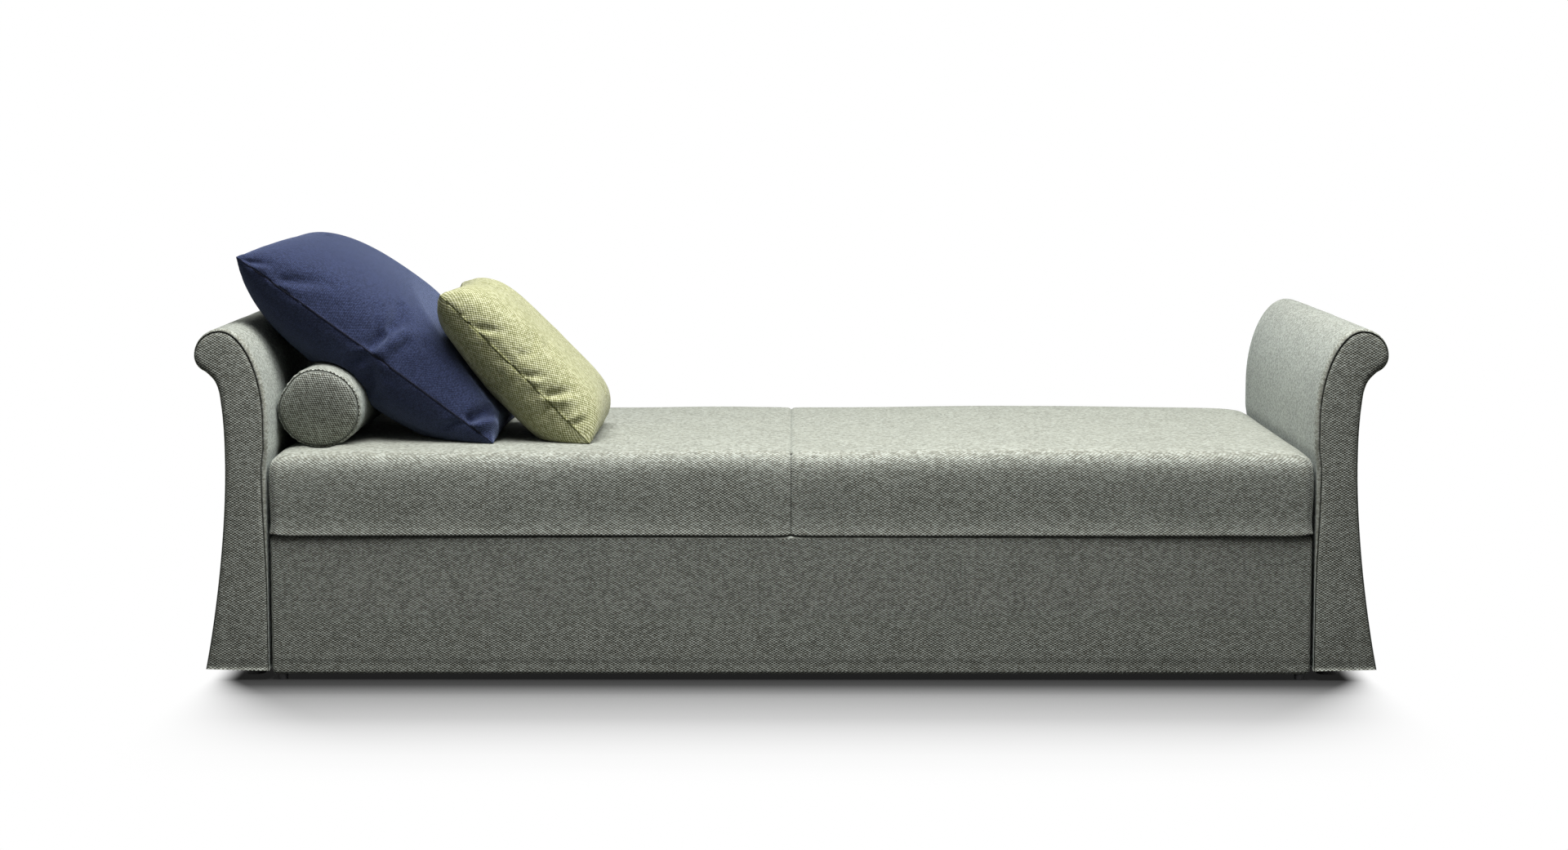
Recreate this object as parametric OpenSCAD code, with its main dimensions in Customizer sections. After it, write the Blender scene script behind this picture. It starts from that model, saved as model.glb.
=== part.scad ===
/* [Mattress] */
// Length of the mattress, between the arms
mattress_length = 1950; // [1500:10:2100]
// Depth of the mattress, front to back
mattress_depth = 896; // [700:2:1000]
// Height of the mattress's side at its edge
mattress_side = 139; // [100:1:180]
// Height of the underside of the mattress over the floor
deck_height = 275; // [255:1:320]
// Rise of the crown over the edge
mattress_crown = 20; // [8:1:30]
// Width of the roll from the edge up to the crown
mattress_roll = 170; // [120:5:220]
// Thickness of the quilted cover at the sides
quilt = 8; // [4:1:14]
// Depth of the sewn channel across the middle
channel_depth = 3; // [1:0.5:5]

/* [Arms] */
// How far an arm stands proud of the mattress at the front and at the back
arm_proud = 2; // [0:1:40]
// Height of an arm's top
arm_top = 663; // [600:1:720]
// Height of the hem over the floor
hem_height = 18; // [14:1:24]
// Thickness of an arm at its waist
waist_w = 80; // [70:1:100]
// Height of the waist
waist_height = 409; // [360:1:440]
// Height of the inner face's curve
shoulder_h = 179; // [150:1:210]
// Radius of the scroll's top
scroll_r = 50; // [44:1:60]
// Radius of the scroll's underside
curl_r = 32; // [28:1:40]
// How far the outer face flares out down to the hem
flare_w = 43; // [20:1:60]
// Thickness of the upholstery fabric
fabric = 2.5; // [1.5:0.5:3]
// Thickness of the foam round the arm's frame
arm_foam = 14; // [10:1:18]
// Thickness of the plywood boards that shape the arm
arm_board = 18; // [12:1:22]
// Thickness of the arm's inner panel
inner_panel = 12; // [9:1:15]
// Thickness of the arm's bent outer panel
outer_panel = 4; // [3:0.5:6]
// Soft rounding of an arm's front and rear edges
edge_round = 9; // [6:1:12]

/* [Base] */
// Width of a steel rail
rail_w = 30; // [25:1:40]
// Height of a steel rail
rail_h = 56; // [40:1:60]
// Wall of a steel rail
rail_wall = 2; // [1.5:0.5:3]
// Length of a rail's end plate along the arm
plate_len = 84; // [76:1:110]
// Thickness of a rail's end plate
plate_t = 5; // [4:1:8]
// Diameter of a rail bolt
bolt_d = 8; // [6:1:10]
// Number of sprung slats under the mattress
slat_count = 14; // [8:1:16]
// Width of a slat
slat_w = 68; // [50:1:80]
// Thickness of a slat
slat_t = 8; // [6:1:10]
// Thickness of the front and rear boards
panel_board = 18; // [12:1:22]
// Diameter of an arm glide
glide_d = 40; // [30:1:50]

/* [Pull-out bed] */
// Clearance between the pull-out frame and an arm
lower_end_gap = 25; // [15:1:60]
// Clearance behind the pull-out frame
lower_rear_gap = 15; // [10:1:60]
// Clearance over the lower mattress's crown
lower_roof_gap = 13; // [8:1:30]
// Height of the front panel's lower edge over the floor
panel_clear = 11; // [8:1:14]
// Gap between the front panel and an arm
panel_gap = 8; // [5:1:12]
// Height of the timber under the lower slats
timber_h = 45; // [40:1:50]
// Width of the timber under the lower slats
timber_w = 28; // [22:1:34]
// Height of that timber over the floor
timber_clear = 30; // [26:1:34]
// Number of slats under the lower mattress
lower_slats = 14; // [8:1:16]
// Diameter of the small glides under the front panel
foot_d = 19; // [14:1:22]

/* [Rollers] */
// Diameter of a roller
roller_d = 44; // [40:1:50]
// Width of a roller
roller_w = 19; // [15:1:24]
// Diameter of a roller's axle
axle_d = 6; // [5:0.5:8]
// Thickness of a roller's steel bracket
bracket_t = 2.5; // [2:0.5:4]
// Inset of the front rollers from the front board
front_roller_set = 85; // [60:5:150]
// Inset of the rear rollers from the rear timber
rear_roller_set = 60; // [50:5:150]

/* [Bolster] */
// Diameter of the bolster
bolster_d = 160; // [130:1:180]
// Length of the bolster
bolster_length = 750; // [500:10:800]
// Bulge of the bolster's end discs
end_bulge = 10; // [5:1:14]

/* [Cushions] */
// Side of the large cushion
large_side = 600; // [520:5:640]
// Upper bulge of the large cushion
large_upper = 130; // [90:1:140]
// Lower bulge of the large cushion
large_lower = 112; // [80:1:120]
// Distance of its lower seam from the arm
large_foot = 410; // [380:1:450]
// Side of the small cushion
small_side = 400; // [340:5:440]
// Upper bulge of the small cushion
small_upper = 80; // [50:1:90]
// Lower bulge of the small cushion
small_lower = 80; // [50:1:90]
// Distance of its lower seam from the arm
small_foot = 594; // [570:1:680]
// Lean of the small cushion
small_tilt = 45; // [40:1:52]
// How far the front ends of the soft pieces stand behind the front
soft_setback = 120; // [90:5:180]
// How far the cushions' sides draw in between the corners
draw_in = 18; // [8:1:24]

/* [Hidden] */
// Running and seating clearances
seat_gap = 0.3;
run_gap = 4;
bed_gap = 3;
side_gap = 1;
bore_gap = 0.4;
pin_gap = 0.2;
// Overrun of every cut
over = 1;

// The mattress
half_length = mattress_length / 2;
half_depth = mattress_depth / 2;
edge_top = deck_height + mattress_side;
crown_top = edge_top + mattress_crown;
mattress_corner_r = 30;
mattress_edge_r = 14;
mattress_draw = 4;
lower_roll = 120;
lower_crown = 12;
channel_half = 3.5;
channel_reach = 10;
quilt_foot = 6;
// Grid lines in from an edge, as shares of the roll, and across the rest
roll_shares = [0, 0.2, 0.45, 0.7, 1];
field_shares = [0.5];

// The arms
arm_inner = half_length + bed_gap;
half_arm = half_depth + arm_proud;
scroll_set = 4;
scroll_u = waist_w + scroll_set;
scroll_z = arm_top - scroll_r;
curl_turn = 68;
curl_u = scroll_u + scroll_r - curl_r;
waist_top = scroll_z - curl_r * sin(curl_turn);
frame_inset = fabric + arm_foam;
panel_inset = frame_inset + pin_gap;
hem_lap = 2;
frame_foot = hem_height + hem_lap;
frame_half = half_arm - fabric;
// The underside of the scroll, from its curl down to the waist: shares across and up
neck_shares = [
    [0.64, 0.937], [0.4, 0.868], [0.25, 0.776], [0.164, 0.66],
    [0.075, 0.489], [0.015, 0.26], [0, 0]
];
flare_power = 1.75;
flare_steps = 8;
arc_steps = 9;
board_y = frame_half - arm_board;
top_rail = 30;
foot_rail_w = 30;
foot_rail_h = 28;
foot_rail_x = arm_inner + frame_inset + inner_panel;
slant_share = 1.02;

// The base: rails, slats and panels
panel_set = 2;
panel_face = half_depth - panel_set;
board_face = panel_face - fabric;
board_back = board_face - panel_board;
slat_seat_t = 3;
slat_lip = 3;
slat_fit = 0.5;
seat_len = 26;
rail_top = deck_height - slat_t - slat_seat_t;
rail_bottom = rail_top - rail_h;
front_rail_y = -(board_back - run_gap);
rear_rail_y = board_back;
bolt_head_h = 5;
bolt_head_d = 13;
bolt_hole_d = bolt_d + bore_gap;
bolt_margin = 16;
bolt_row = plate_len - rail_w - bolt_margin;
bolt_tip = 6;
bolt_reach = fabric + arm_foam + inner_panel + plate_t + bolt_tip;
tee_nut_d = 20;
tee_nut_t = 1.5;
tee_wall = 1.5;
tee_barrel_d = bolt_d + 2 * tee_wall;
tee_barrel = 9;
bolt_rise = 14;
stem_d = 8;
stem_len = 20;
glide_inset = 60;

// The front and rear panels
panel_half = arm_inner - panel_gap;
panel_top = deck_height - bed_gap;
panel_corner_r = 12;
panel_round = 5;
foot_inset = 12;
foot_x = panel_half - foot_inset;
foot_stem_d = 5;
foot_stem = 16;

// The lower frame
slat_floor = timber_clear + timber_h;
lower_deck = slat_floor + slat_t;
lower_front = -board_back;
lower_rear = rear_rail_y - rail_w - lower_rear_gap;
timber_out = arm_inner - lower_end_gap;
lower_set = 8;
lower_length = 2 * (timber_out - lower_set);
lower_depth = lower_rear - lower_front - 2 * lower_set;
lower_side = rail_bottom - lower_roof_gap - lower_crown - lower_deck;

// The rollers
roller_x = timber_out - timber_w - bracket_t - side_gap - roller_w / 2;
front_roller_y = lower_front + front_roller_set;
rear_roller_y = lower_rear - timber_w - rear_roller_set;
bracket_short = 5;
bracket_len = roller_d - 2 * bracket_short;
bracket_drop = 9;
bracket_bottom = roller_d / 2 - bracket_drop;
bracket_room = 6;
bracket_top = roller_d + bracket_room;
axle_head_lap = 2;
axle_head_d = axle_d + 2 * axle_head_lap;
axle_head = 2;

// The bolster, beside the left arm
bolster_r = bolster_d / 2;
bolster_x = -(arm_inner - bolster_r - seat_gap);
bolster_z = 2 * seat_gap + max([for (k = [-20:20]) let (dx = bolster_r * k / 20)
    mattress_top_at(half_length + bolster_x + dx) + sqrt(bolster_r * bolster_r - dx * dx)]);
bolster_front = -bolster_length / 2;
disc_step = 5;
disc_r = bolster_r - disc_step;
bolster_round = 14;

// The cushions' seams, fullness, lean and front edge
soft_front = -half_arm + soft_setback;
seam_half = 1;
fullness = 2.6;
plump = 0.55;
cushion_steps = 14;
cover_wall = 7;
seam_share = 2.2;
filling_fit = 0.4;
large_half = large_side / 2;
small_half = small_side / 2;
seat_plane = crown_top + seat_gap;
// The point of the left arm that the large cushion leans on, and how deep it lies there
lean_point = [-(arm_inner + 0.64 * scroll_u), arm_top - 0.16 * scroll_r];
lean_depth = 0.87 * large_lower;
large_foot_at = [-(arm_inner - large_foot), seat_plane + seam_half];
lean_line = lean_point - large_foot_at;
large_tilt = atan2(lean_line[1], -lean_line[0]) + asin(lean_depth / norm(lean_line));
large_centre = large_foot_at + large_half * [-cos(large_tilt), sin(large_tilt)];
small_foot_at = [-(arm_inner - small_foot), seat_plane + seam_half];
small_centre = small_foot_at + small_half * [-cos(small_tilt), sin(small_tilt)];
// The plane where the two cushions press on each other
meet_tilt = 52.5;
meet_share = 0.26;
meet_at = [large_foot_at[0] + meet_share * (small_foot_at[0] - large_foot_at[0]), seat_plane];
meet_normal = [sin(meet_tilt), cos(meet_tilt)];
large_cell = large_side / cushion_steps;
dent_r = bolster_r + 2 * seat_gap;
steep_share = 0.9;
far_off = -large_side;

// An easy rise from 0 to 1
function ease(s) = let (c = min(max(s, 0), 1)) c * c * (3 - 2 * c);

// Height of the mattress's top at a distance in from its end
function mattress_top_at(d) = edge_top + mattress_crown * ease(d / mattress_roll);

// The arm's outline from the inner hem over the top to the outer hem, as [outward, up]
function arm_path() = concat(
    [[0, hem_height], [0, arm_top - shoulder_h]],
    [for (k = [1:arc_steps]) let (a = 90 * k / arc_steps)
        [scroll_u * (1 - cos(a)), arm_top - shoulder_h * (1 - sin(a))]],
    [for (k = [1:arc_steps]) let (a = 90 - 90 * k / arc_steps)
        [scroll_u + scroll_r * cos(a), scroll_z + scroll_r * sin(a)]],
    [for (k = [1:5]) let (a = -curl_turn * k / 5)
        [curl_u + curl_r * cos(a), scroll_z + curl_r * sin(a)]],
    [for (s = neck_shares) let (w = curl_u + curl_r * cos(curl_turn) - waist_w)
        [waist_w + w * s[0], waist_height + (waist_top - waist_height) * s[1]]],
    [for (k = [1:flare_steps]) let (t = k / flare_steps)
        [waist_w + flare_w * pow(t, flare_power), waist_height - (waist_height - hem_height) * t]]
);

// The path moved inwards by an inset
function inset_path(path, inset) = [for (k = [0:len(path) - 1])
    let (a = path[max(k - 1, 0)], b = path[min(k + 1, len(path) - 1)], d = (b - a) / norm(b - a))
        path[k] + inset * [d[1], -d[0]]];

// The point at a height on the line through two points
function point_at(a, b, height) = a + (b - a) * (height - a[1]) / (b[1] - a[1]);

// The closed outline of the arm at an inset, cut off level at a foot
function arm_outline(inset, foot) = let (
        p = inset_path(arm_path(), inset),
        last = len(p) - 1,
        ends = [point_at(p[1], p[0], foot), point_at(p[last - 1], p[last], foot)]
    ) [for (k = [last:-1:0]) [arm_inner, 0] + (k == 0 ? ends[0] : k == last ? ends[1] : p[k])];

// The triangles inside an outline that rises from both its ends to one top
function zipped(outline, a, b) = b - a < 2 ? []
    : outline[a + 1][1] < outline[b - 1][1] ? concat([[a, a + 1, b]], zipped(outline, a + 1, b))
    : concat([[a, b - 1, b]], zipped(outline, a, b - 1));

// Numbers of the points round the rim of a grid, in order
function rim(n, m) = concat(
    [for (i = [0:n]) [i, 0]],
    [for (j = [1:m]) [n, j]],
    [for (i = [n - 1:-1:0]) [i, m]],
    [for (j = [m - 1:-1:1]) [0, j]]
);

// A four-sided face as two triangles
function split_quad(q) = [[q[0], q[1], q[2]], [q[0], q[2], q[3]]];

// A closed form from an upper grid, loops of side points and a lower grid
module sewn_form(upper, sides, lower) {
    n = len(upper) - 1;
    m = len(upper[0]) - 1;
    edge = rim(n, m);
    count = len(edge);
    grid = (n + 1) * (m + 1);
    last = grid + len(sides) * count;
    loops = concat(
        [[for (e = edge) e[0] * (m + 1) + e[1]]],
        [for (s = [0:1:len(sides) - 1]) [for (k = [0:count - 1]) grid + s * count + k]],
        [[for (e = edge) last + e[0] * (m + 1) + e[1]]]
    );
    points = concat(
        [for (row = upper) for (p = row) p],
        [for (loop = sides) for (p = loop) p],
        [for (row = lower) for (p = row) p]
    );
    sheet = [for (i = [0:n - 1]) for (j = [0:m - 1]) let (a = i * (m + 1) + j, b = a + m + 1)
        [a, a + 1, b + 1, b]];
    top_faces = [for (q = sheet) for (f = split_quad(q)) f];
    low_faces = [for (q = sheet) for (f = split_quad([q[3], q[2], q[1], q[0]])) [for (v = f) last + v]];
    bands = [for (s = [0:len(loops) - 2]) for (k = [0:count - 1]) let (h = (k + 1) % count)
        for (f = split_quad([loops[s][k], loops[s][h], loops[s + 1][h], loops[s + 1][k]])) f];
    polyhedron(points, concat(top_faces, low_faces, bands), convexity = 4);
}

// A closed form through outlines of equal length, each given as [y, outline]
module lofted(rings) {
    count = len(rings[0][1]);
    points = [for (r = rings) for (p = r[1]) [p[0], r[0], p[1]]];
    bands = [for (s = [0:len(rings) - 2]) for (k = [0:count - 1]) let (h = (k + 1) % count, a = s * count)
        for (f = split_quad([a + k, a + h, a + count + h, a + count + k])) f];
    end = len(rings) - 1;
    first = [for (f = zipped(rings[0][1], 0, count - 1)) [f[2], f[1], f[0]]];
    final = [for (f = zipped(rings[end][1], 0, count - 1)) [for (v = f) end * count + v]];
    polyhedron(points, concat(first, bands, final), convexity = 6);
}

// An outline drawn in X and Z, carried along Y
module along_y(from, to, outline) {
    translate([0, to, 0])
        rotate([90, 0, 0])
            linear_extrude(to - from)
                polygon(outline);
}

// A plain block between two corners
module block(low, high) {
    translate(low)
        cube(high - low);
}

// The right-hand pieces as drawn, or mirrored to the left
module right_or_left(side) {
    if (side < 0)
        mirror([1, 0, 0]) children();
    else
        children();
}

// A place at each end of both steel rails
module at_four_rail_ends() {
    for (side = [-1, 1])
        for (end = [[front_rail_y, 1], [rear_rail_y, -1]])
            right_or_left(side)
                translate([0, end[0], 0])
                    mirror([0, end[1] < 0 ? 1 : 0, 0])
                        children();
}

// Holes for the bolts through an arm, beside both rails
module bolt_holes(from, to, d) {
    for (end = [[front_rail_y, 1], [rear_rail_y, -1]])
        for (z = [rail_bottom + bolt_rise, rail_top - bolt_rise])
            translate([from, end[0] + end[1] * (rail_w + bolt_row), z])
                rotate([0, 90, 0])
                    cylinder(d = d, h = to - from, $fn = 24);
}

// Arms

module arm_cover() {
    rounds = [[0, 1], [0.3, 0.45], [0.65, 0.12], [1, 0]];
    front = [for (r = rounds)
        [-half_arm + r[0] * edge_round, arm_outline(r[1] * edge_round / 2, hem_height)]];
    rear = [for (k = [len(rounds) - 1:-1:0])
        [half_arm - rounds[k][0] * edge_round, arm_outline(rounds[k][1] * edge_round / 2, hem_height)]];
    difference() {
        lofted(concat(front, rear));
        along_y(-frame_half, frame_half, arm_outline(fabric + edge_round / 2, hem_height - over));
        along_y(-half_arm + edge_round, half_arm - edge_round, arm_outline(fabric, hem_height - over));
        bolt_holes(arm_inner - over, arm_inner + frame_inset, bolt_hole_d);
    }
}

module arm_foam_wrap() {
    long = half_arm - edge_round;
    difference() {
        along_y(-long, long, arm_outline(fabric, frame_foot));
        along_y(-long - over, long + over, arm_outline(frame_inset, frame_foot - over));
        bolt_holes(arm_inner, arm_inner + frame_inset + over, bolt_hole_d);
    }
}

module arm_shape_board(front) {
    at = front ? -frame_half : frame_half - arm_board;
    along_y(at, at + arm_board, arm_outline(frame_inset, frame_foot));
}

module arm_inner_panel() {
    x = arm_inner + frame_inset;
    difference() {
        block([x, -board_y, frame_foot], [x + inner_panel, board_y, arm_top - shoulder_h]);
        bolt_holes(x - over, x + inner_panel + over, tee_barrel_d + bore_gap);
    }
}

module arm_outer_panel() {
    path = arm_path();
    first = len(path) - 1 - flare_steps - 4;
    outer = inset_path(path, panel_inset);
    inner = inset_path(path, panel_inset + outer_panel);
    last = len(path) - 1;
    strip = concat(
        [for (k = [first:last - 1]) outer[k]],
        [for (side = [outer, inner]) point_at(side[last - 1], side[last], frame_foot)],
        [for (k = [last - 1:-1:first]) inner[k]]
    );
    along_y(-board_y, board_y, [for (p = strip) [arm_inner + p[0], p[1]]]);
}

module arm_top_rail() {
    x = arm_inner + scroll_u;
    z = scroll_z;
    block([x - top_rail / 2, -board_y, z - top_rail / 2], [x + top_rail / 2, board_y, z + top_rail / 2]);
}

// How far out the flared face stands at a height
function flare_at(z) = waist_w + flare_w * pow((waist_height - z) / (waist_height - hem_height), flare_power);

module arm_foot_rails() {
    top = frame_foot + foot_rail_h;
    outer_x = arm_inner + flare_at(top) - slant_share * (panel_inset + outer_panel);
    block([outer_x - foot_rail_w, -board_y, frame_foot], [outer_x, board_y, top]);
    difference() {
        block([foot_rail_x, -board_y, frame_foot], [foot_rail_x + foot_rail_w, board_y, top]);
        for (y = [-1, 1])
            translate([foot_rail_x + foot_rail_w / 2, y * (board_y - glide_inset), frame_foot - over])
                cylinder(d = stem_d + pin_gap, h = stem_len + over + pin_gap, $fn = 32);
    }
}

module arm_glides() {
    color("#1c1c1e")
        for (side = [-1, 1])
            for (y = [-1, 1])
                translate([side * (foot_rail_x + foot_rail_w / 2), y * (board_y - glide_inset), 0]) {
                    cylinder(d = glide_d, h = frame_foot, $fn = 48);
                    cylinder(d = stem_d, h = frame_foot + stem_len, $fn = 32);
                }
}

module left_arm_cover() { color("#9aa09b") right_or_left(-1) arm_cover(); }
module right_arm_cover() { color("#9aa09b") arm_cover(); }
module left_arm_foam() { color("#e9dfb8") right_or_left(-1) arm_foam_wrap(); }
module right_arm_foam() { color("#e9dfb8") arm_foam_wrap(); }
module left_arm_front_board() { color("#c9a877") right_or_left(-1) arm_shape_board(true); }
module right_arm_front_board() { color("#c9a877") arm_shape_board(true); }
module left_arm_rear_board() { color("#c9a877") right_or_left(-1) arm_shape_board(false); }
module right_arm_rear_board() { color("#c9a877") arm_shape_board(false); }
module left_arm_inner_panel() { color("#c9a877") right_or_left(-1) arm_inner_panel(); }
module right_arm_inner_panel() { color("#c9a877") arm_inner_panel(); }
module left_arm_outer_panel() { color("#b8925c") right_or_left(-1) arm_outer_panel(); }
module right_arm_outer_panel() { color("#b8925c") arm_outer_panel(); }
module left_arm_top_rail() { color("#d3b483") right_or_left(-1) arm_top_rail(); }
module right_arm_top_rail() { color("#d3b483") arm_top_rail(); }
module left_arm_foot_rails() { color("#d3b483") right_or_left(-1) arm_foot_rails(); }
module right_arm_foot_rails() { color("#d3b483") arm_foot_rails(); }

// Base

// A tube along X with an end plate on each arm, its outer face at y = 0
module steel_rail() {
    half = arm_inner;
    difference() {
        union() {
            block([-half + plate_t, 0, rail_bottom], [half - plate_t, rail_w, rail_top]);
            for (side = [-1, 1])
                right_or_left(side)
                    block([half - plate_t, 0, rail_bottom], [half, plate_len, rail_top]);
        }
        block(
            [-half + plate_t, rail_wall, rail_bottom + rail_wall],
            [half - plate_t, rail_w - rail_wall, rail_top - rail_wall]
        );
        for (side = [-1, 1])
            for (z = [rail_bottom + bolt_rise, rail_top - bolt_rise])
                right_or_left(side)
                    translate([half - plate_t - over, rail_w + bolt_row, z])
                        rotate([0, 90, 0])
                            cylinder(d = bolt_hole_d, h = plate_t + 2 * over, $fn = 32);
    }
}

module front_rail() {
    color("#3a3c3e")
        translate([0, front_rail_y, 0])
            steel_rail();
}

module rear_rail() {
    color("#3a3c3e")
        translate([0, rear_rail_y, 0])
            mirror([0, 1, 0])
                steel_rail();
}

module rail_bolts() {
    color("#b9bcc0")
        at_four_rail_ends()
            for (z = [rail_bottom + bolt_rise, rail_top - bolt_rise])
                translate([arm_inner - plate_t - bolt_head_h, rail_w + bolt_row, z])
                    rotate([0, 90, 0]) {
                        cylinder(d = bolt_head_d, h = bolt_head_h, $fn = 6);
                        cylinder(d = bolt_d, h = bolt_head_h + bolt_reach, $fn = 32);
                    }
}

module rail_tee_nuts() {
    back = arm_inner + frame_inset + inner_panel;
    color("#b9bcc0")
        at_four_rail_ends()
            for (z = [rail_bottom + bolt_rise, rail_top - bolt_rise])
                translate([back, rail_w + bolt_row, z])
                    rotate([0, 90, 0])
                        difference() {
                            union() {
                                cylinder(d = tee_nut_d, h = tee_nut_t, $fn = 32);
                                translate([0, 0, -tee_barrel])
                                    cylinder(d = tee_barrel_d, h = tee_barrel + tee_nut_t, $fn = 32);
                            }
                            translate([0, 0, -tee_barrel - over])
                                cylinder(
                                    d = bolt_d + pin_gap, h = tee_barrel + tee_nut_t + 2 * over, $fn = 32
                                );
                        }
}

// Places of slats along X, evenly spread over a length
function slat_places(count, length) = [for (k = [0:count - 1]) -length / 2 + length * (k + 0.5) / count];

module seat_slats() {
    front = front_rail_y + slat_lip + slat_fit;
    rear = rear_rail_y - slat_lip - slat_fit;
    color("#d9bd8b")
        for (x = slat_places(slat_count, mattress_length))
            block([x - slat_w / 2, front, deck_height - slat_t], [x + slat_w / 2, rear, deck_height]);
}

module slat_seats() {
    inside = slat_w / 2 + slat_fit;
    wide = inside + slat_lip;
    high = slat_seat_t + slat_t;
    color("#26282a")
        for (x = slat_places(slat_count, mattress_length))
            for (end = [[front_rail_y, 1], [rear_rail_y, -1]])
                translate([x, end[0], rail_top])
                    mirror([0, end[1] < 0 ? 1 : 0, 0])
                        difference() {
                            block([-wide, 0, 0], [wide, seat_len, high]);
                            block([-inside, slat_lip, slat_seat_t], [inside, seat_len + over, high + over]);
                        }
}

// An upholstered board that stands across the front or the back
module panel_cover_form() {
    rounds = [[0, 1], [0.35, 0.4], [1, 0]];
    outer = [for (r = rounds) [-panel_face + r[0] * panel_round, panel_outline(r[1] * panel_round / 2)]];
    difference() {
        lofted(concat(outer, [[-board_back, panel_outline(0)]]));
        along_y(-board_face, -board_back + over, panel_outline(fabric + panel_round / 4));
    }
}

function panel_outline(inset) = let (
        x = panel_half - inset,
        r = panel_corner_r - inset,
        low = panel_clear + inset,
        high = panel_top - inset
    ) concat(
        [for (k = [0:4]) let (a = 180 + 90 * k / 4) [-x + r + r * cos(a), low + r + r * sin(a)]],
        [for (k = [0:4]) let (a = 270 + 90 * k / 4) [x - r + r * cos(a), low + r + r * sin(a)]],
        [[x, high], [-x, high]]
    );

module panel_board_form() {
    along_y(-board_face, -board_back, panel_outline(fabric + panel_round / 4));
}

module rear_board() {
    color("#c9a877")
        mirror([0, 1, 0])
            panel_board_form();
}

module rear_cover() {
    color("#8d928c")
        mirror([0, 1, 0])
            panel_cover_form();
}

module foot_holes(d) {
    for (side = [-1, 1])
        translate([side * foot_x, -(board_face + board_back) / 2, panel_clear - over])
            cylinder(d = d, h = foot_stem + over + pin_gap, $fn = 32);
}

module front_board() {
    color("#c9a877")
        difference() {
            panel_board_form();
            foot_holes(foot_stem_d + pin_gap);
        }
}

module front_cover() {
    color("#7c807a")
        difference() {
            panel_cover_form();
            foot_holes(foot_stem_d + pin_gap);
        }
}

module front_feet() {
    color("#111112")
        for (side = [-1, 1])
            translate([side * foot_x, -(board_face + board_back) / 2, 0]) {
                cylinder(d = foot_d, h = panel_clear, $fn = 32);
                cylinder(d = foot_stem_d, h = panel_clear + foot_stem, $fn = 32);
            }
}

// Mattresses

function grid_lines(half, roll, seamed) = let (
        side = concat([for (s = roll_shares) half - s * roll], [for (s = field_shares) s * (half - roll)]),
        middle = seamed ? [channel_reach, channel_half] : []
    ) concat([for (v = side) -v], [for (v = middle) -v], [0],
        [for (k = [len(middle) - 1:-1:0]) middle[k]], [for (k = [len(side) - 1:-1:0]) side[k]]);

// A corner point drawn back on to a round corner
function round_corner(x, y, hx, hy, r) = let (
        v = [abs(x) - (hx - r), abs(y) - (hy - r)],
        far = v[0] > 0 && v[1] > 0 && norm(v) > r,
        w = far ? v * r / norm(v) : v
    ) [sign(x) * (hx - r + w[0]), sign(y) * (hy - r + w[1])];

// Depth of the channel across the middle at a place along the mattress
function channel_at(x, seamed) = !seamed || abs(x) >= channel_reach ? 0
    : channel_depth * (abs(x) < channel_half ? 1 : 0.5);

// A point of a box cushion's wall or top, at an inset from its outline
function box_point(x, y, hx, hy, inset, seamed) = let (
        p = round_corner(x, y, hx, hy, mattress_corner_r),
        c = inset + channel_at(x, seamed) + mattress_draw * (1 - pow(x / hx, 2)),
        e = inset + mattress_draw * (1 - pow(y / hy, 2))
    ) [p[0] * (1 - e / hx), p[1] * (1 - c / hy)];

module box_cushion(length, depth, low, side, crown, roll, seamed) {
    hx = length / 2;
    hy = depth / 2;
    xs = grid_lines(hx, roll, seamed);
    ys = grid_lines(hy, roll, false);
    edge = rim(len(xs) - 1, len(ys) - 1);
    top = low + side;
    function lift(x, y) = crown * ease((hx - abs(x)) / roll) * ease((hy - abs(y)) / roll);
    upper = [for (x = xs) [for (y = ys)
        concat(
            box_point(x, y, hx, hy, mattress_edge_r, seamed),
            [top + lift(x, y) - channel_at(x, seamed)]
        )]];
    tall = side / mattress_edge_r;
    wall_shares = [[0.36, -0.29], [0, -1], [-0.1, -tall / 2], [0, 0.7 - tall]];
    function wall_point(x, y, w) = concat(
        box_point(x, y, hx, hy, w[0] * mattress_edge_r, seamed),
        [top + w[1] * mattress_edge_r]
    );
    sides = [for (w = wall_shares) [for (e = edge) wall_point(xs[e[0]], ys[e[1]], w)]];
    lower = [for (x = xs) [for (y = ys)
        concat(box_point(x, y, hx, hy, mattress_edge_r / 3, false), [low])]];
    sewn_form(upper, sides, lower);
}

module core_block(length, depth, low, side, grow) {
    in = quilt - grow;
    block(
        [-length / 2 + in + mattress_edge_r, -depth / 2 + in + mattress_edge_r, low + quilt_foot - grow],
        [length / 2 - in - mattress_edge_r, depth / 2 - in - mattress_edge_r, low + side - in]
    );
}

module mattress_core() {
    color("#efe6c4")
        core_block(mattress_length, mattress_depth, deck_height, mattress_side, 0);
}

module mattress_cover() {
    color("#aab0ab")
        difference() {
            box_cushion(
                mattress_length, mattress_depth, deck_height, mattress_side,
                mattress_crown, mattress_roll, true
            );
            core_block(mattress_length, mattress_depth, deck_height, mattress_side, seat_gap);
        }
}

module at_lower_mattress() {
    translate([0, lower_front + side_gap + lower_depth / 2, 0])
        children();
}

module lower_mattress_core() {
    color("#efe6c4")
        at_lower_mattress()
            core_block(lower_length, lower_depth, lower_deck, lower_side, 0);
}

module lower_mattress_cover() {
    color("#e4e3dc")
        at_lower_mattress()
            difference() {
                box_cushion(
                    lower_length, lower_depth, lower_deck, lower_side,
                    lower_crown, lower_roll, false
                );
                core_block(lower_length, lower_depth, lower_deck, lower_side, seat_gap);
            }
}

// Pull-out frame

module timber(low, high) {
    color("#d3b483")
        block(low, high);
}

module lower_front_timber() {
    timber([-timber_out, lower_front, timber_clear], [timber_out, lower_front + timber_w, slat_floor]);
}

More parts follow.
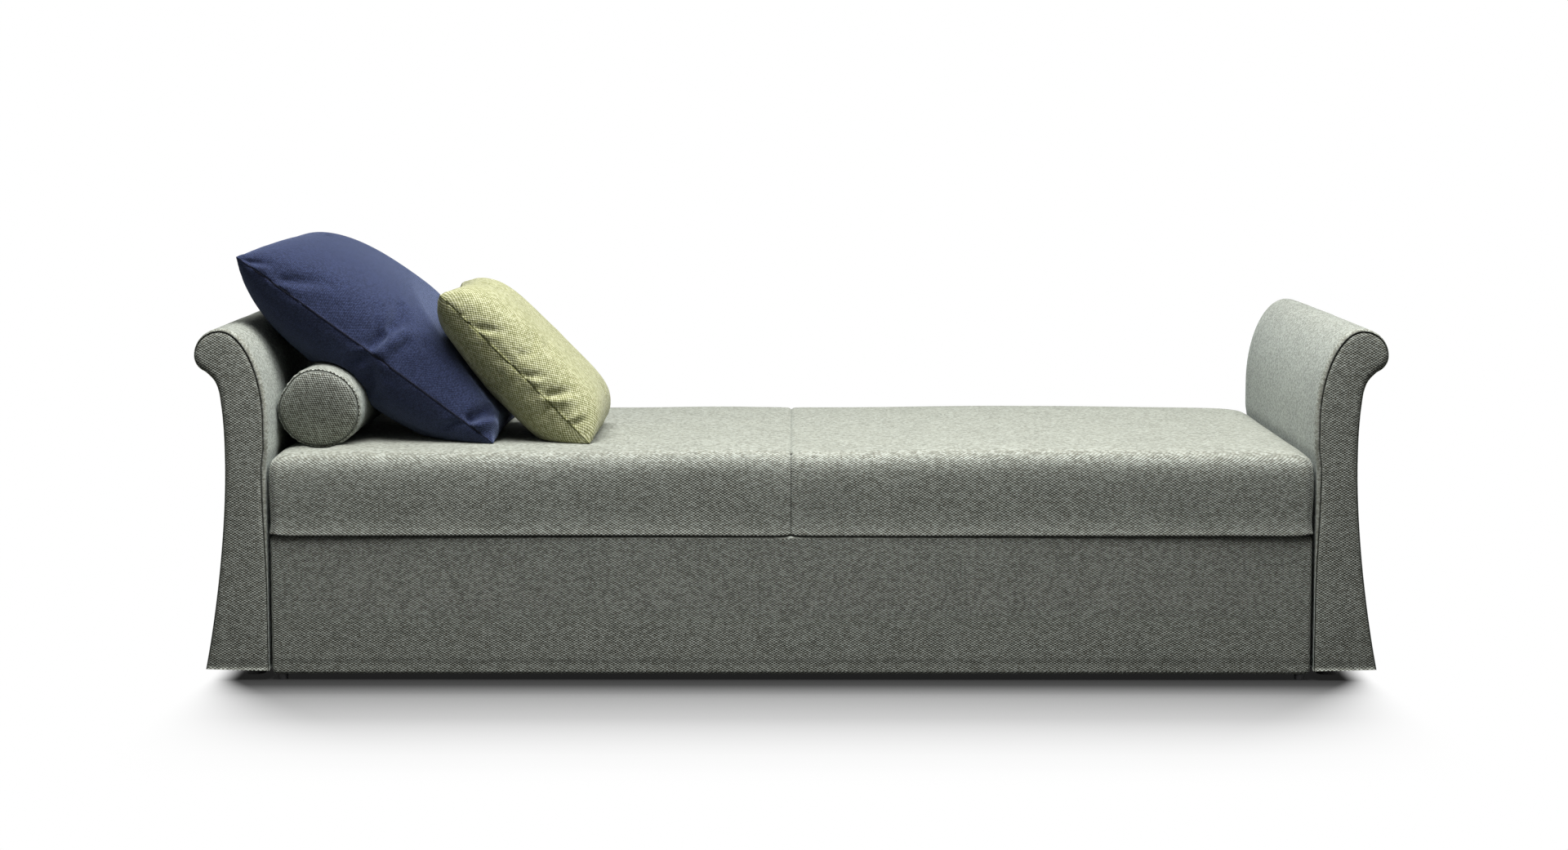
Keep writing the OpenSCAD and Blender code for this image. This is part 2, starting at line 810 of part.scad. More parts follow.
module lower_rear_timber() {
    timber([-timber_out, lower_rear - timber_w, timber_clear], [timber_out, lower_rear, slat_floor]);
}

module side_timber() {
    timber(
        [timber_out - timber_w, lower_front + timber_w, timber_clear],
        [timber_out, lower_rear - timber_w, slat_floor]
    );
}

module lower_left_timber() { right_or_left(-1) side_timber(); }
module lower_right_timber() { side_timber(); }

module lower_middle_timber() {
    middle = (lower_front + lower_rear) / 2;
    timber(
        [-timber_out + timber_w, middle - timber_w / 2, timber_clear],
        [timber_out - timber_w, middle + timber_w / 2, slat_floor]
    );
}

module lower_slats_set() {
    front = lower_front + side_gap;
    rear = lower_rear - side_gap;
    color("#d9bd8b")
        for (x = slat_places(lower_slats, lower_length))
            block([x - slat_w / 2, front, slat_floor], [x + slat_w / 2, rear, lower_deck]);
}

module at_each_roller() {
    for (side = [-1, 1])
        for (y = [front_roller_y, rear_roller_y])
            translate([side * roller_x, y, roller_d / 2])
                mirror([side < 0 ? 1 : 0, 0, 0])
                    children();
}

module roller_brackets() {
    cheek = roller_w / 2 + side_gap;
    wide = cheek + bracket_t;
    half = bracket_len / 2;
    low = bracket_bottom - roller_d / 2;
    high = bracket_top - roller_d / 2;
    color("#8a8d90")
        at_each_roller()
            difference() {
                block([-wide, -half, low], [wide, half, high + bracket_t]);
                block([-cheek, -half - over, low - over], [cheek, half + over, high]);
                rotate([0, 90, 0])
                    cylinder(d = axle_d + pin_gap, h = 3 * wide, center = true, $fn = 32);
            }
}

module roller_axles() {
    cheek = roller_w / 2 + side_gap + bracket_t;
    color("#c4c7ca")
        at_each_roller() {
            translate([-cheek, 0, 0])
                rotate([0, 90, 0])
                    cylinder(d = axle_d, h = 2 * cheek, $fn = 32);
            translate([-cheek - axle_head, 0, 0])
                rotate([0, 90, 0])
                    cylinder(d = axle_head_d, h = axle_head, $fn = 32);
        }
}

module roller(side, y) {
    r = roller_d / 2;
    w = roller_w / 2;
    color("#161617")
        translate([side * roller_x, y, r])
            rotate([0, 90, 0])
                rotate_extrude($fn = 64)
                    polygon([
                        [axle_d / 2 + bore_gap / 2, -w],
                        [axle_d, -w], [axle_d, -w * 0.6], [r * 0.75, -w * 0.6],
                        [r * 0.8, -w * 0.95], [r - side_gap, -w * 0.95], [r, -w * 0.7], [r, w * 0.7],
                        [r - side_gap, w * 0.95], [r * 0.8, w * 0.95], [r * 0.75, w * 0.6], [axle_d, w * 0.6],
                        [axle_d, w], [axle_d / 2 + bore_gap / 2, w]
                    ]);
}

module front_left_roller() { roller(-1, front_roller_y); }
module front_right_roller() { roller(1, front_roller_y); }
module rear_left_roller() { roller(-1, rear_roller_y); }
module rear_right_roller() { roller(1, rear_roller_y); }

// Bolster

function bolster_profile(inset) = let (
        r = disc_r - inset,
        wide = bolster_r - inset,
        b = end_bulge,
        l = bolster_length - 2 * inset,
        half = concat(
            [[0, 0]],
            [for (s = [0.35, 0.7, 0.9]) [r * s, b * (1 - sqrt(1 - s * s))]],
            [[r, b], [r + 0.64 * disc_step, b + 0.3 * bolster_round], [wide, b + bolster_round]]
        )
    ) concat(half, [for (k = [len(half) - 1:-1:0]) [half[k][0], l - half[k][1]]]);

module bolster_form(inset) {
    translate([bolster_x, bolster_front + inset, bolster_z])
        rotate([-90, 0, 0])
            rotate_extrude($fn = 72)
                polygon(bolster_profile(inset));
}

module bolster_filling() {
    color("#f0eee6")
        bolster_form(cover_wall + filling_fit);
}

module bolster_cover() {
    color("#8f958f")
        difference() {
            bolster_form(0);
            bolster_form(cover_wall);
        }
}

// Cushions

function swell(u) = pow(1 - pow(min(abs(u), 1), fullness), plump);

// Height over a leaning cushion's seam of a world point, and its place along the cushion
function over_seam(p, centre, tilt) = (p[0] - centre[0]) * sin(tilt) + (p[1] - centre[1]) * cos(tilt);

function along_seam(p, centre, tilt) = (p[0] - centre[0]) * cos(tilt) - (p[1] - centre[1]) * sin(tilt);

// Lowest height that stays over the seat, at a place along a leaning cushion
function seat_limit(t, centre, tilt) = (seat_plane - centre[1] + t * sin(tilt)) / cos(tilt);

// Height where the plane between the cushions is met, at a place along a leaning cushion
function meet_limit(t, centre, tilt) = let (
        base = centre + t * [cos(tilt), -sin(tilt)],
        up = [sin(tilt), cos(tilt)]
    ) ((meet_at - base) * meet_normal) / (up * meet_normal);

// How high the left arm reaches over the large cushion's seam plane, and where it ends
large_arm_limit = seat_gap
    + max([for (p = arm_path()) over_seam([-(arm_inner + p[0]), p[1]], large_centre, large_tilt)]);
large_arm_end = (-arm_inner - large_centre[0] + large_lower * sin(large_tilt)) / cos(large_tilt)
    + large_cell;

// Height over the bolster's axis of the line that touches its round at a share of its radius
function bolster_line(d, share) = (dent_r - d * share) / sqrt(1 - share * share);

// The dent that the bolster makes, by the lines that touch it in the cells before and after a place
function bolster_limit(t) = let (
        at = [bolster_x, bolster_z],
        d = t - along_seam(at, large_centre, large_tilt),
        near = [for (m = [d - large_cell / 2, d + large_cell / 2]) if (abs(m) < dent_r + large_cell / 2) m]
    ) over_seam(at, large_centre, large_tilt) + max(concat(
        [far_off],
        [for (m = near) bolster_line(d, min(max(m / dent_r, -steep_share), steep_share))]
    ));

function large_floor(t) = max(
    t < large_arm_end ? large_arm_limit : far_off,
    bolster_limit(t),
    seat_limit(t, large_centre, large_tilt)
);

function large_roof(t) = meet_limit(t, large_centre, large_tilt) - seat_gap / 2;

function small_floor(t) = max(
    seat_limit(t, small_centre, small_tilt),
    meet_limit(t, small_centre, small_tilt) + seat_gap / 2
);

// A knife-edged cushion on its seam plane, pressed flat where its roof and its floor are
module knife_cushion(half, up, down, roof, floor) {
    lines = [for (k = [0:cushion_steps]) -1 + 2 * k / cushion_steps];
    function place(u, v) = [
        half * u - draw_in * u * (1 - v * v),
        half * v - draw_in * v * (1 - u * u)
    ];
    function high(u, v) = max(min(seam_half + up * swell(u) * swell(v), roof(place(u, v)[0])), seam_half);
    function low(u, v) = min(max(-seam_half - down * swell(u) * swell(v), floor(place(u, v)[0])), -seam_half);
    upper = [for (u = lines) [for (v = lines) concat(place(u, v), [high(u, v)])]];
    lower = [for (u = lines) [for (v = lines) concat(place(u, v), [low(u, v)])]];
    sewn_form(upper, [], lower);
}

module large_cushion_form(wall) {
    translate([large_centre[0], soft_front + large_half, large_centre[1]])
        rotate([0, large_tilt, 0])
            knife_cushion(
                large_half - seam_share * wall,
                large_upper - wall,
                large_lower - wall,
                function(t) large_roof(t) - wall,
                function(t) large_floor(t) + wall
            );
}

module small_cushion_form(wall) {
    translate([small_centre[0], soft_front + small_half, small_centre[1]])
        rotate([0, small_tilt, 0])
            knife_cushion(
                small_half - seam_share * wall,
                small_upper - wall,
                small_lower - wall,
                function(t) small_upper + seam_half,
                function(t) small_floor(t) + wall
            );
}

module large_cushion_filling() {
    color("#f0eee6")
        large_cushion_form(cover_wall + filling_fit);
}

module large_cushion_cover() {
    color("#3b4270")
        difference() {
            large_cushion_form(0);
            large_cushion_form(cover_wall);
        }
}

module small_cushion_filling() {
    color("#f0eee6")
        small_cushion_form(cover_wall + filling_fit);
}

module small_cushion_cover() {
    color("#b5ba7c")
        difference() {
            small_cushion_form(0);
            small_cushion_form(cover_wall);
        }
}

left_arm_cover();
right_arm_cover();
left_arm_foam();
right_arm_foam();
left_arm_front_board();
left_arm_rear_board();
right_arm_front_board();
right_arm_rear_board();
left_arm_inner_panel();
right_arm_inner_panel();
left_arm_outer_panel();
right_arm_outer_panel();
left_arm_top_rail();
right_arm_top_rail();
left_arm_foot_rails();
right_arm_foot_rails();
arm_glides();
front_rail();
rear_rail();
rail_bolts();
rail_tee_nuts();
seat_slats();
slat_seats();
rear_board();
rear_cover();
mattress_core();
mattress_cover();
front_board();
front_cover();
front_feet();
lower_front_timber();
lower_rear_timber();
lower_left_timber();
lower_right_timber();
lower_middle_timber();
lower_slats_set();
roller_brackets();
roller_axles();
front_left_roller();
front_right_roller();
rear_left_roller();
rear_right_roller();
lower_mattress_core();
lower_mattress_cover();
bolster_filling();
bolster_cover();
large_cushion_filling();
large_cushion_cover();
small_cushion_filling();
small_cushion_cover();
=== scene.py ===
"""Dresses a backless divan with a pull-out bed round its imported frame.

The scene is in metres with +Z up and the front at -Y. The sizes of the soft pieces are in millimetres.
"""
import logging
import math
from dataclasses import dataclass, replace
from enum import Enum
from typing import Callable, Iterable, Sequence

import bpy
import numpy as np
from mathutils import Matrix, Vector, noise
from mathutils.geometry import delaunay_2d_cdt


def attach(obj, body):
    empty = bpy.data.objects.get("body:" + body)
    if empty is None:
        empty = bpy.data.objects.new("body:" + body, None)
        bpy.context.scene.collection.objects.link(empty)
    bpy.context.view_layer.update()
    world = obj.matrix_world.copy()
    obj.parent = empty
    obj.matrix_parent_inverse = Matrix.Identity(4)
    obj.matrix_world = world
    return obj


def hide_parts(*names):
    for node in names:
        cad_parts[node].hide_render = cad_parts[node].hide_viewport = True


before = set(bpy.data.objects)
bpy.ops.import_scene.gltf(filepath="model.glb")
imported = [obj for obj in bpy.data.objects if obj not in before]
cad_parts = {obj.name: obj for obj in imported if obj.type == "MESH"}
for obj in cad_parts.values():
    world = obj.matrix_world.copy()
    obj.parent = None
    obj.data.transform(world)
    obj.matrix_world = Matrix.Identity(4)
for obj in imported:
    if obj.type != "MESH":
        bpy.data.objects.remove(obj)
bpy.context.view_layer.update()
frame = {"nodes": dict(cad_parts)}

LOG = logging.getLogger("divan")
MM = 0.001
CLOTH_MAP = "cloth"
# Name of the points' share of painted shade along seams and stitch lines
SEAM_SHADE = "seam_shade"
TAUT = "taut"

# A place in millimetres on the cloth, on a section or on a plan
Place = tuple[float, float]
Point = tuple[float, float, float]
Colour = tuple[float, float, float, float]
Socket = bpy.types.NodeSocket


# Colours and nodes


def linear(hex_colour: str, alpha: float = 1.0) -> Colour:
    """Turn an sRGB hex colour into linear values.

    Args:
        hex_colour: The colour as "#rrggbb".
        alpha: The fourth value.

    Returns:
        Red, green, blue and alpha, linear.
    """
    parts = [int(hex_colour[i : i + 2], 16) / 255 for i in (1, 3, 5)]
    red, green, blue = (p / 12.92 if p <= 0.04045 else ((p + 0.055) / 1.055) ** 2.4 for p in parts)
    return red, green, blue, alpha


def add_node(
    tree: bpy.types.NodeTree, kind: str, inputs: dict[int | str, object] | None = None, **settings: object
) -> bpy.types.Node:
    """Add one node with its settings, values and links.

    Args:
        tree: The node tree that gets it.
        kind: The node's type name.
        inputs: A value, or an output to link, for each socket by name or number.
        **settings: The node's own properties.

    Returns:
        The new node.
    """
    node = tree.nodes.new(kind)
    for name, value in settings.items():
        setattr(node, name, value)
    for socket, value in (inputs or {}).items():
        if isinstance(value, bpy.types.NodeSocket):
            tree.links.new(value, node.inputs[socket])
        else:
            node.inputs[socket].default_value = value
    return node


def set_ramp(node: bpy.types.Node, stops: Sequence[tuple[float, Colour]]) -> None:
    """Give a colour ramp its stops.

    Args:
        node: The ColorRamp node.
        stops: Position and colour of each stop, in order.
    """
    marks = node.color_ramp.elements
    while len(marks) < len(stops):
        marks.new(0.5)
    for mark, (place, colour) in zip(marks, stops):
        mark.position = place
        mark.color = colour


@dataclass(frozen=True)
class Sheet:
    """A node tree to work on: each method adds one node and gives the output that counts."""

    tree: bpy.types.NodeTree

    def add(self, kind: str, inputs: dict | None = None, **settings: object) -> bpy.types.Node:
        """Add a node of any kind."""
        return add_node(self.tree, kind, inputs, **settings)

    def calc(self, way: str, *values: float | Socket) -> Socket:
        """Work out one number from others, the way that a Math node's operation says."""
        return self.add("ShaderNodeMath", dict(enumerate(values)), operation=way).outputs[0]

    def vector(self, way: str, *values: Point | Socket) -> Socket:
        """Work out one vector from others, the way that a VectorMath node's operation says."""
        return self.add("ShaderNodeVectorMath", dict(enumerate(values)), operation=way).outputs[0]

    def mix(self, share: float | Socket, first: Socket, second: Colour | Socket, way: str = "MIX") -> Socket:
        """Mix a share of the second colour into the first."""
        inputs = {0: share, 6: first, 7: second}
        return self.add("ShaderNodeMix", inputs, data_type="RGBA", blend_type=way).outputs[2]

    def rescale(self, value: Socket, taken: Place, given: Place) -> Socket:
        """Turn the range that a number is taken from into the range that is given back."""
        ends = {"From Min": taken[0], "From Max": taken[1], "To Min": given[0], "To Max": given[1]}
        return self.add("ShaderNodeMapRange", {"Value": value, **ends}).outputs[0]

    def noise(self, place: Socket, scale: float, detail: float, **more: float) -> bpy.types.Node:
        """Add smooth noise at a place."""
        inputs = {"Vector": place, "Scale": scale, "Detail": detail, **more}
        return self.add("ShaderNodeTexNoise", inputs)

    def ramp(self, value: Socket, marks: Sequence[float], colours: Sequence[Colour]) -> Socket:
        """Colour a number by a ramp.

        Args:
            value: The number.
            marks: Places of the ramp's stops.
            colours: Their colours.

        Returns:
            The output with the colour.
        """
        node = self.add("ShaderNodeValToRGB", {"Fac": value})
        set_ramp(node, list(zip(marks, colours)))
        return node.outputs[0]

    def bump(self, height: Socket, strength: float, relief: float) -> Socket:
        """Raise the surface by a relief in millimetres."""
        inputs = {"Height": height, "Strength": strength, "Distance": relief * MM}
        return self.add("ShaderNodeBump", inputs).outputs[0]

    def carried(self, name: str) -> Socket:
        """Read a value that the mesh's points carry."""
        return self.add("ShaderNodeAttribute", attribute_name=name).outputs["Fac"]

    def finish(self, surface: dict[str, object]) -> None:
        """Finish a material with its surface shader and its output."""
        shader = self.add("ShaderNodeBsdfPrincipled", surface)
        self.add("ShaderNodeOutputMaterial", {"Surface": shader.outputs[0]})


def new_sheet(name: str) -> tuple[bpy.types.Material, Sheet]:
    """Make an empty node material.

    Args:
        name: The material's name.

    Returns:
        The material and its node tree.
    """
    material = bpy.data.materials.new(name)
    material.use_nodes = True
    material.node_tree.nodes.clear()
    return material, Sheet(material.node_tree)


# Finishes


@dataclass(frozen=True)
class WovenCloth:
    """An upholstery cloth whose threads show as rows of floats, each row half a pitch beside the last.

    The pitches are in millimetres on the cloth. The crown colour paints a highlight on the floats' crowns and
    the gap colour paints shade in the gaps between them, over the yarns' own colours, so the cloth looks
    grained from the front and pale along the surface.
    """

    name: str
    crown: str
    body: str
    gap: str
    fleck: str
    pitch_across: float
    pitch_up: float
    relief: float
    fleck_share: float = 0.1
    slub: float = 0.08
    melange: float = 0.5
    sheen: float = 0.25
    sheen_tint: str = "#ffffff"
    roughness: float = 0.9
    # Colour of the painted shade along seams and stitch lines
    seam_shade_tone: str = "#2b2c29"
    # Threads wander by this share of the pitch over this many millimetres
    wander: float = 0.2
    wander_mm: float = 25.0
    # Length of a streak of one yarn along the weft and along the warp, and how much it counts
    streak_mm: Place = (11.0, 9.0)
    streak_depth: float = 0.12
    # Brings the mean tone to the middle of the ramp
    mean_tone: float = 0.385
    # How far the floats stand out on flat cloth, and on cloth pulled round an edge
    float_depths: Place = (0.42, 0.06)
    # Tones of gap, body and crown on the ramp: the gap's colour is painted shade, the crown's a painted
    # highlight
    tones: tuple[float, float, float] = (0.16, 0.5, 0.86)
    flecks_per_metre: Place = (240.0, 430.0)
    fleck_range: Place = (0.62, 0.74)
    dye_clouds_per_metre: float = 9.0
    dye_range: Place = (0.3, 0.7)
    bump: float = 0.9
    specular: float = 0.2
    sheen_roughness: float = 0.45

    def seam(self) -> "WovenCloth":
        """The same cloth along a seam, where the drawn-in threads lie flat and have no bloom."""
        return replace(self, name=f"{self.name}_seam", sheen=0.0)

    def material(self) -> bpy.types.Material:
        """Build the cloth's material from its woven pattern.

        Returns:
            The material.
        """
        material, sheet = new_sheet(self.name)
        place = sheet.add("ShaderNodeUVMap", uv_map=CLOTH_MAP).outputs["UV"]
        # Threads wander by a fraction of a millimetre
        wave = sheet.noise(place, 1000 / self.wander_mm, 1.0).outputs["Color"]
        reach = self.wander * MM * self.pitch_up
        shift = sheet.vector("MULTIPLY", sheet.vector("SUBTRACT", wave, (0.5, 0.5, 0.5)), (reach, reach, 0.0))
        moved = sheet.vector("ADD", place, shift)
        tone = self._tone(sheet, moved)
        # Painted shade in the gaps between floats and a painted highlight on their crowns, over the body's
        # colour
        woven = sheet.ramp(tone, self.tones, [linear(c) for c in (self.gap, self.body, self.crown)])
        # Short lengths of another yarn
        spots = sheet.vector("MULTIPLY", moved, (*self.flecks_per_metre, 0.0))
        fleck = sheet.noise(spots, 1.0, 0.0).outputs[0]
        amount = sheet.rescale(fleck, self.fleck_range, (0.0, self.fleck_share))
        flecked = sheet.mix(amount, woven, linear(self.fleck))
        # Dye and pile are uneven over a hand's breadth
        broad = sheet.noise(place, self.dye_clouds_per_metre, 3.0).outputs[0]
        shade = sheet.rescale(broad, self.dye_range, (1 - self.slub, 1.0))
        dyed = sheet.mix(1.0, flecked, shade, "MULTIPLY")
        # Painted shade darkens the colour along seams and stitch lines
        sheet.finish(
            {
                "Base Color": sheet.mix(sheet.carried(SEAM_SHADE), dyed, linear(self.seam_shade_tone)),
                "Roughness": self.roughness,
                "Specular IOR Level": self.specular,
                "Sheen Weight": self.sheen,
                "Sheen Roughness": self.sheen_roughness,
                "Sheen Tint": linear(self.sheen_tint),
                "Normal": sheet.bump(tone, self.bump, self.relief),
            }
        )
        return material

    def _tone(self, sheet: Sheet, moved: Socket) -> Socket:
        """Weave the floats and give each its own tone.

        Args:
            sheet: The node tree.
            moved: The place on the cloth.

        Returns:
            The output with the tone, from dark gap to pale crown.
        """
        axes = sheet.add("ShaderNodeSeparateXYZ", {0: moved}).outputs
        turns, waves = [], []
        for axis, pitch in zip(axes, (self.pitch_across, self.pitch_up)):
            turns.append(sheet.calc("MULTIPLY", axis, 1 / (pitch * MM)))
            waves.append(sheet.calc("COSINE", sheet.calc("MULTIPLY", turns[-1], 2 * math.pi)))
        floats = sheet.calc("MULTIPLY", *waves)
        # A float's number is the pair of slanting rows that it lies in
        slants = dict(enumerate(sheet.calc(way, *turns) for way in ("ADD", "SUBTRACT")))
        pair = sheet.add("ShaderNodeCombineXYZ", slants).outputs[0]
        number = sheet.vector("FLOOR", sheet.vector("ADD", pair, (0.5, 0.5, 0.0)))
        chance = sheet.add("ShaderNodeTexWhiteNoise", {"Vector": number}, noise_dimensions="2D")
        # Yarns differ in tone: streaks along the weft and along the warp
        half_across, half_up = 0.5 * self.pitch_across, 0.5 * self.pitch_up
        streaks = []
        for wide, high in ((self.streak_mm[0], half_up), (half_across, self.streak_mm[1])):
            scaled = sheet.vector("MULTIPLY", moved, (1 / wide / MM, 1 / high / MM, 0.0))
            streaks.append(sheet.noise(scaled, 1.0, 1.0).outputs[0])
        yarn = sheet.calc("ADD", *streaks)
        base = self.mean_tone - 0.5 * self.melange
        mixed = sheet.calc("MULTIPLY_ADD", chance.outputs["Value"], self.melange, base)
        even = sheet.calc("MULTIPLY_ADD", yarn, self.streak_depth, mixed)
        depth = sheet.rescale(sheet.carried(TAUT), (0.0, 1.0), self.float_depths)
        return sheet.calc("MULTIPLY_ADD", floats, depth, even)


class Grain(Enum):
    """The way a board's or rail's fibres run."""

    ALONG_X = (1.2, 26.0, 26.0)
    ALONG_Y = (26.0, 1.2, 26.0)
    ALONG_Z = (26.0, 26.0, 1.2)


@dataclass(frozen=True)
class Wood:
    """Sawn or veneered wood: fibres a millimetre or two wide along the grain, with a dull raw face."""

    name: str
    early: str
    late: str
    grain: Grain
    roughness: float = 0.62
    specular: float = 0.35
    ring_scale: float = 2.2
    ring_bend: float = 0.6
    fibre_scale: float = 16.0
    fibre_share: float = 0.45
    tones: Place = (0.45, 0.9)
    bump: float = 0.35
    relief: float = 0.4

    def material(self) -> bpy.types.Material:
        """Build the wood's material.

        Returns:
            The material.
        """
        material, sheet = new_sheet(self.name)
        place = sheet.add("ShaderNodeTexCoord").outputs["Object"]
        along = sheet.vector("MULTIPLY", place, self.grain.value)
        rings = sheet.noise(along, self.ring_scale, 3.0, Distortion=self.ring_bend).outputs[0]
        fibres = sheet.noise(along, self.fibre_scale, 2.0).outputs[0]
        both = sheet.calc("MULTIPLY_ADD", fibres, self.fibre_share, rings)
        sheet.finish(
            {
                "Base Color": sheet.ramp(both, self.tones, (linear(self.late), linear(self.early))),
                "Roughness": self.roughness,
                "Specular IOR Level": self.specular,
                "Normal": sheet.bump(both, self.bump, self.relief),
            }
        )
        return material


@dataclass(frozen=True)
class Hardware:
    """Metal or moulded plastic with a fine grit: mottled plating, powder coat or a spark-eroded skin."""

    name: str
    colour: str
    worn: str
    roughness: float
    metallic: float
    grit: float
    relief: float
    tones: Place = (0.35, 0.75)
    bump: float = 0.3

    def material(self) -> bpy.types.Material:
        """Build the hardware's material.

        Returns:
            The material.
        """
        material, sheet = new_sheet(self.name)
        place = sheet.add("ShaderNodeTexCoord").outputs["Object"]
        grit = sheet.noise(place, 1000 / self.grit, 2.0).outputs[0]
        sheet.finish(
            {
                "Base Color": sheet.ramp(grit, self.tones, (linear(self.colour), linear(self.worn))),
                "Roughness": self.roughness,
                "Metallic": self.metallic,
                "Normal": sheet.bump(grit, self.bump, self.relief),
            }
        )
        return material


# A hopsack of wool and polyester, green-grey with brown flecks: floats lightened by a painted highlight over
# gaps darkened by painted shade.
# Two staggered rows of floats take 7.8 mm across and 4.8 mm up the cloth.
HOPSACK = WovenCloth(
    "woven_wool_hopsack",
    crown="#c6ccc4",
    body="#929489",
    gap="#2f302b",
    fleck="#54462f",
    pitch_across=7.8,
    pitch_up=4.8,
    relief=0.8,
    fleck_share=0.5,
    melange=0.27,
    sheen=0.2,
    sheen_tint="#e0f0f0",
)
# A tighter linen slub in indigo: fine threads, deep blue with a dusty bloom where it turns to the light.
INDIGO_SLUB = WovenCloth(
    "woven_indigo_slub",
    crown="#434d73",
    body="#1b223c",
    gap="#080b17",
    fleck="#3b4360",
    pitch_across=3.6,
    pitch_up=2.8,
    relief=0.9,
    fleck_share=0.3,
    melange=0.3,
    sheen=0.55,
    sheen_tint="#a9b9e0",
    seam_shade_tone="#0d0e19",
)
# A two-by-two basket of olive and cream yarns: large pale floats with olive gaps.
OLIVE_BASKET = WovenCloth(
    "woven_olive_basket",
    crown="#c9c9ac",
    body="#9e9f72",
    gap="#585936",
    fleck="#6f723d",
    pitch_across=7.2,
    pitch_up=5.4,
    relief=1.0,
    fleck_share=0.25,
    melange=0.3,
    sheen=0.15,
    seam_shade_tone="#55572c",
)
# Cotton ticking of the lower mattress: a flat, closely woven off-white twill.
TICKING = WovenCloth(
    "woven_cotton_ticking",
    crown="#dddcd6",
    body="#d0cfc7",
    gap="#b5b4a9",
    fleck="#c5c3b6",
    pitch_across=4.0,
    pitch_up=4.0,
    relief=0.4,
    fleck_share=0.2,
    sheen=0.1,
    seam_shade_tone="#a3a298",
)
# Spunbonded dust cover under the arms: thin black felt.
DUST_COVER = WovenCloth(
    "spunbond_dust_cover",
    crown="#2a2a2b",
    body="#1d1d1e",
    gap="#101011",
    fleck="#333335",
    pitch_across=3.0,
    pitch_up=3.0,
    relief=0.3,
    sheen=0.05,
)
# Birch plywood: a pale rotary-cut face with a slow, cloudy figure.
BIRCH_PLYWOOD = Wood("birch_plywood_upright", "#dcc49a", "#c4a273", Grain.ALONG_Z)
BIRCH_PLYWOOD_LONG = Wood("birch_plywood_lengthwise", "#dcc49a", "#c4a273", Grain.ALONG_X)
# Pressed hardboard: brown, dense and slightly shiny on its smooth side.
HARDBOARD = Wood("pressed_hardboard", "#a07a4d", "#8b6840", Grain.ALONG_Y, 0.5)
# Planed spruce: yellow-white early wood with reddish late wood in straight lines.
SPRUCE_X = Wood("planed_spruce_lengthwise", "#e3c796", "#c29a62", Grain.ALONG_X)
SPRUCE_Y = Wood("planed_spruce_crosswise", "#e3c796", "#c29a62", Grain.ALONG_Y)
# Bent laminated beech under clear lacquer: pinkish tan with a satin face.
BENT_BEECH = Wood("laminated_beech_slat", "#dcb98a", "#c1945f", Grain.ALONG_Y, 0.42)
# Injection-moulded polypropylene: black, satin, with a fine spark-eroded grain.
POLYPROPYLENE = Hardware("moulded_black_polypropylene", "#141415", "#222224", 0.55, 0.0, 0.8, 0.1)
# Powder-coated steel: matt grey with a slight orange peel.
POWDER_COAT = Hardware("powder_coated_steel", "#3a3c3e", "#4a4c4e", 0.5, 0.0, 2.5, 0.15)
# Bright zinc plating: a spangled light grey metal.
ZINC = Hardware("zinc_plated_steel", "#b9bcbe", "#d3d5d6", 0.34, 1.0, 3.0, 0.05)
# Cast polyamide wheel: off-black with a dull tread.
POLYAMIDE = Hardware("cast_polyamide_roller", "#1b1b1d", "#2f2f31", 0.45, 0.0, 1.5, 0.12)


class Palette:
    """Builds each finish once and hands out its material."""

    def __init__(self) -> None:
        """Start with no material built."""
        self._made: dict[str, bpy.types.Material] = {}

    def of(self, finish: WovenCloth | Wood | Hardware) -> bpy.types.Material:
        """Give a finish's material, built at its first use.

        Args:
            finish: The finish.

        Returns:
            Its material.
        """
        if finish.name not in self._made:
            self._made[finish.name] = finish.material()
        return self._made[finish.name]


# Meshes


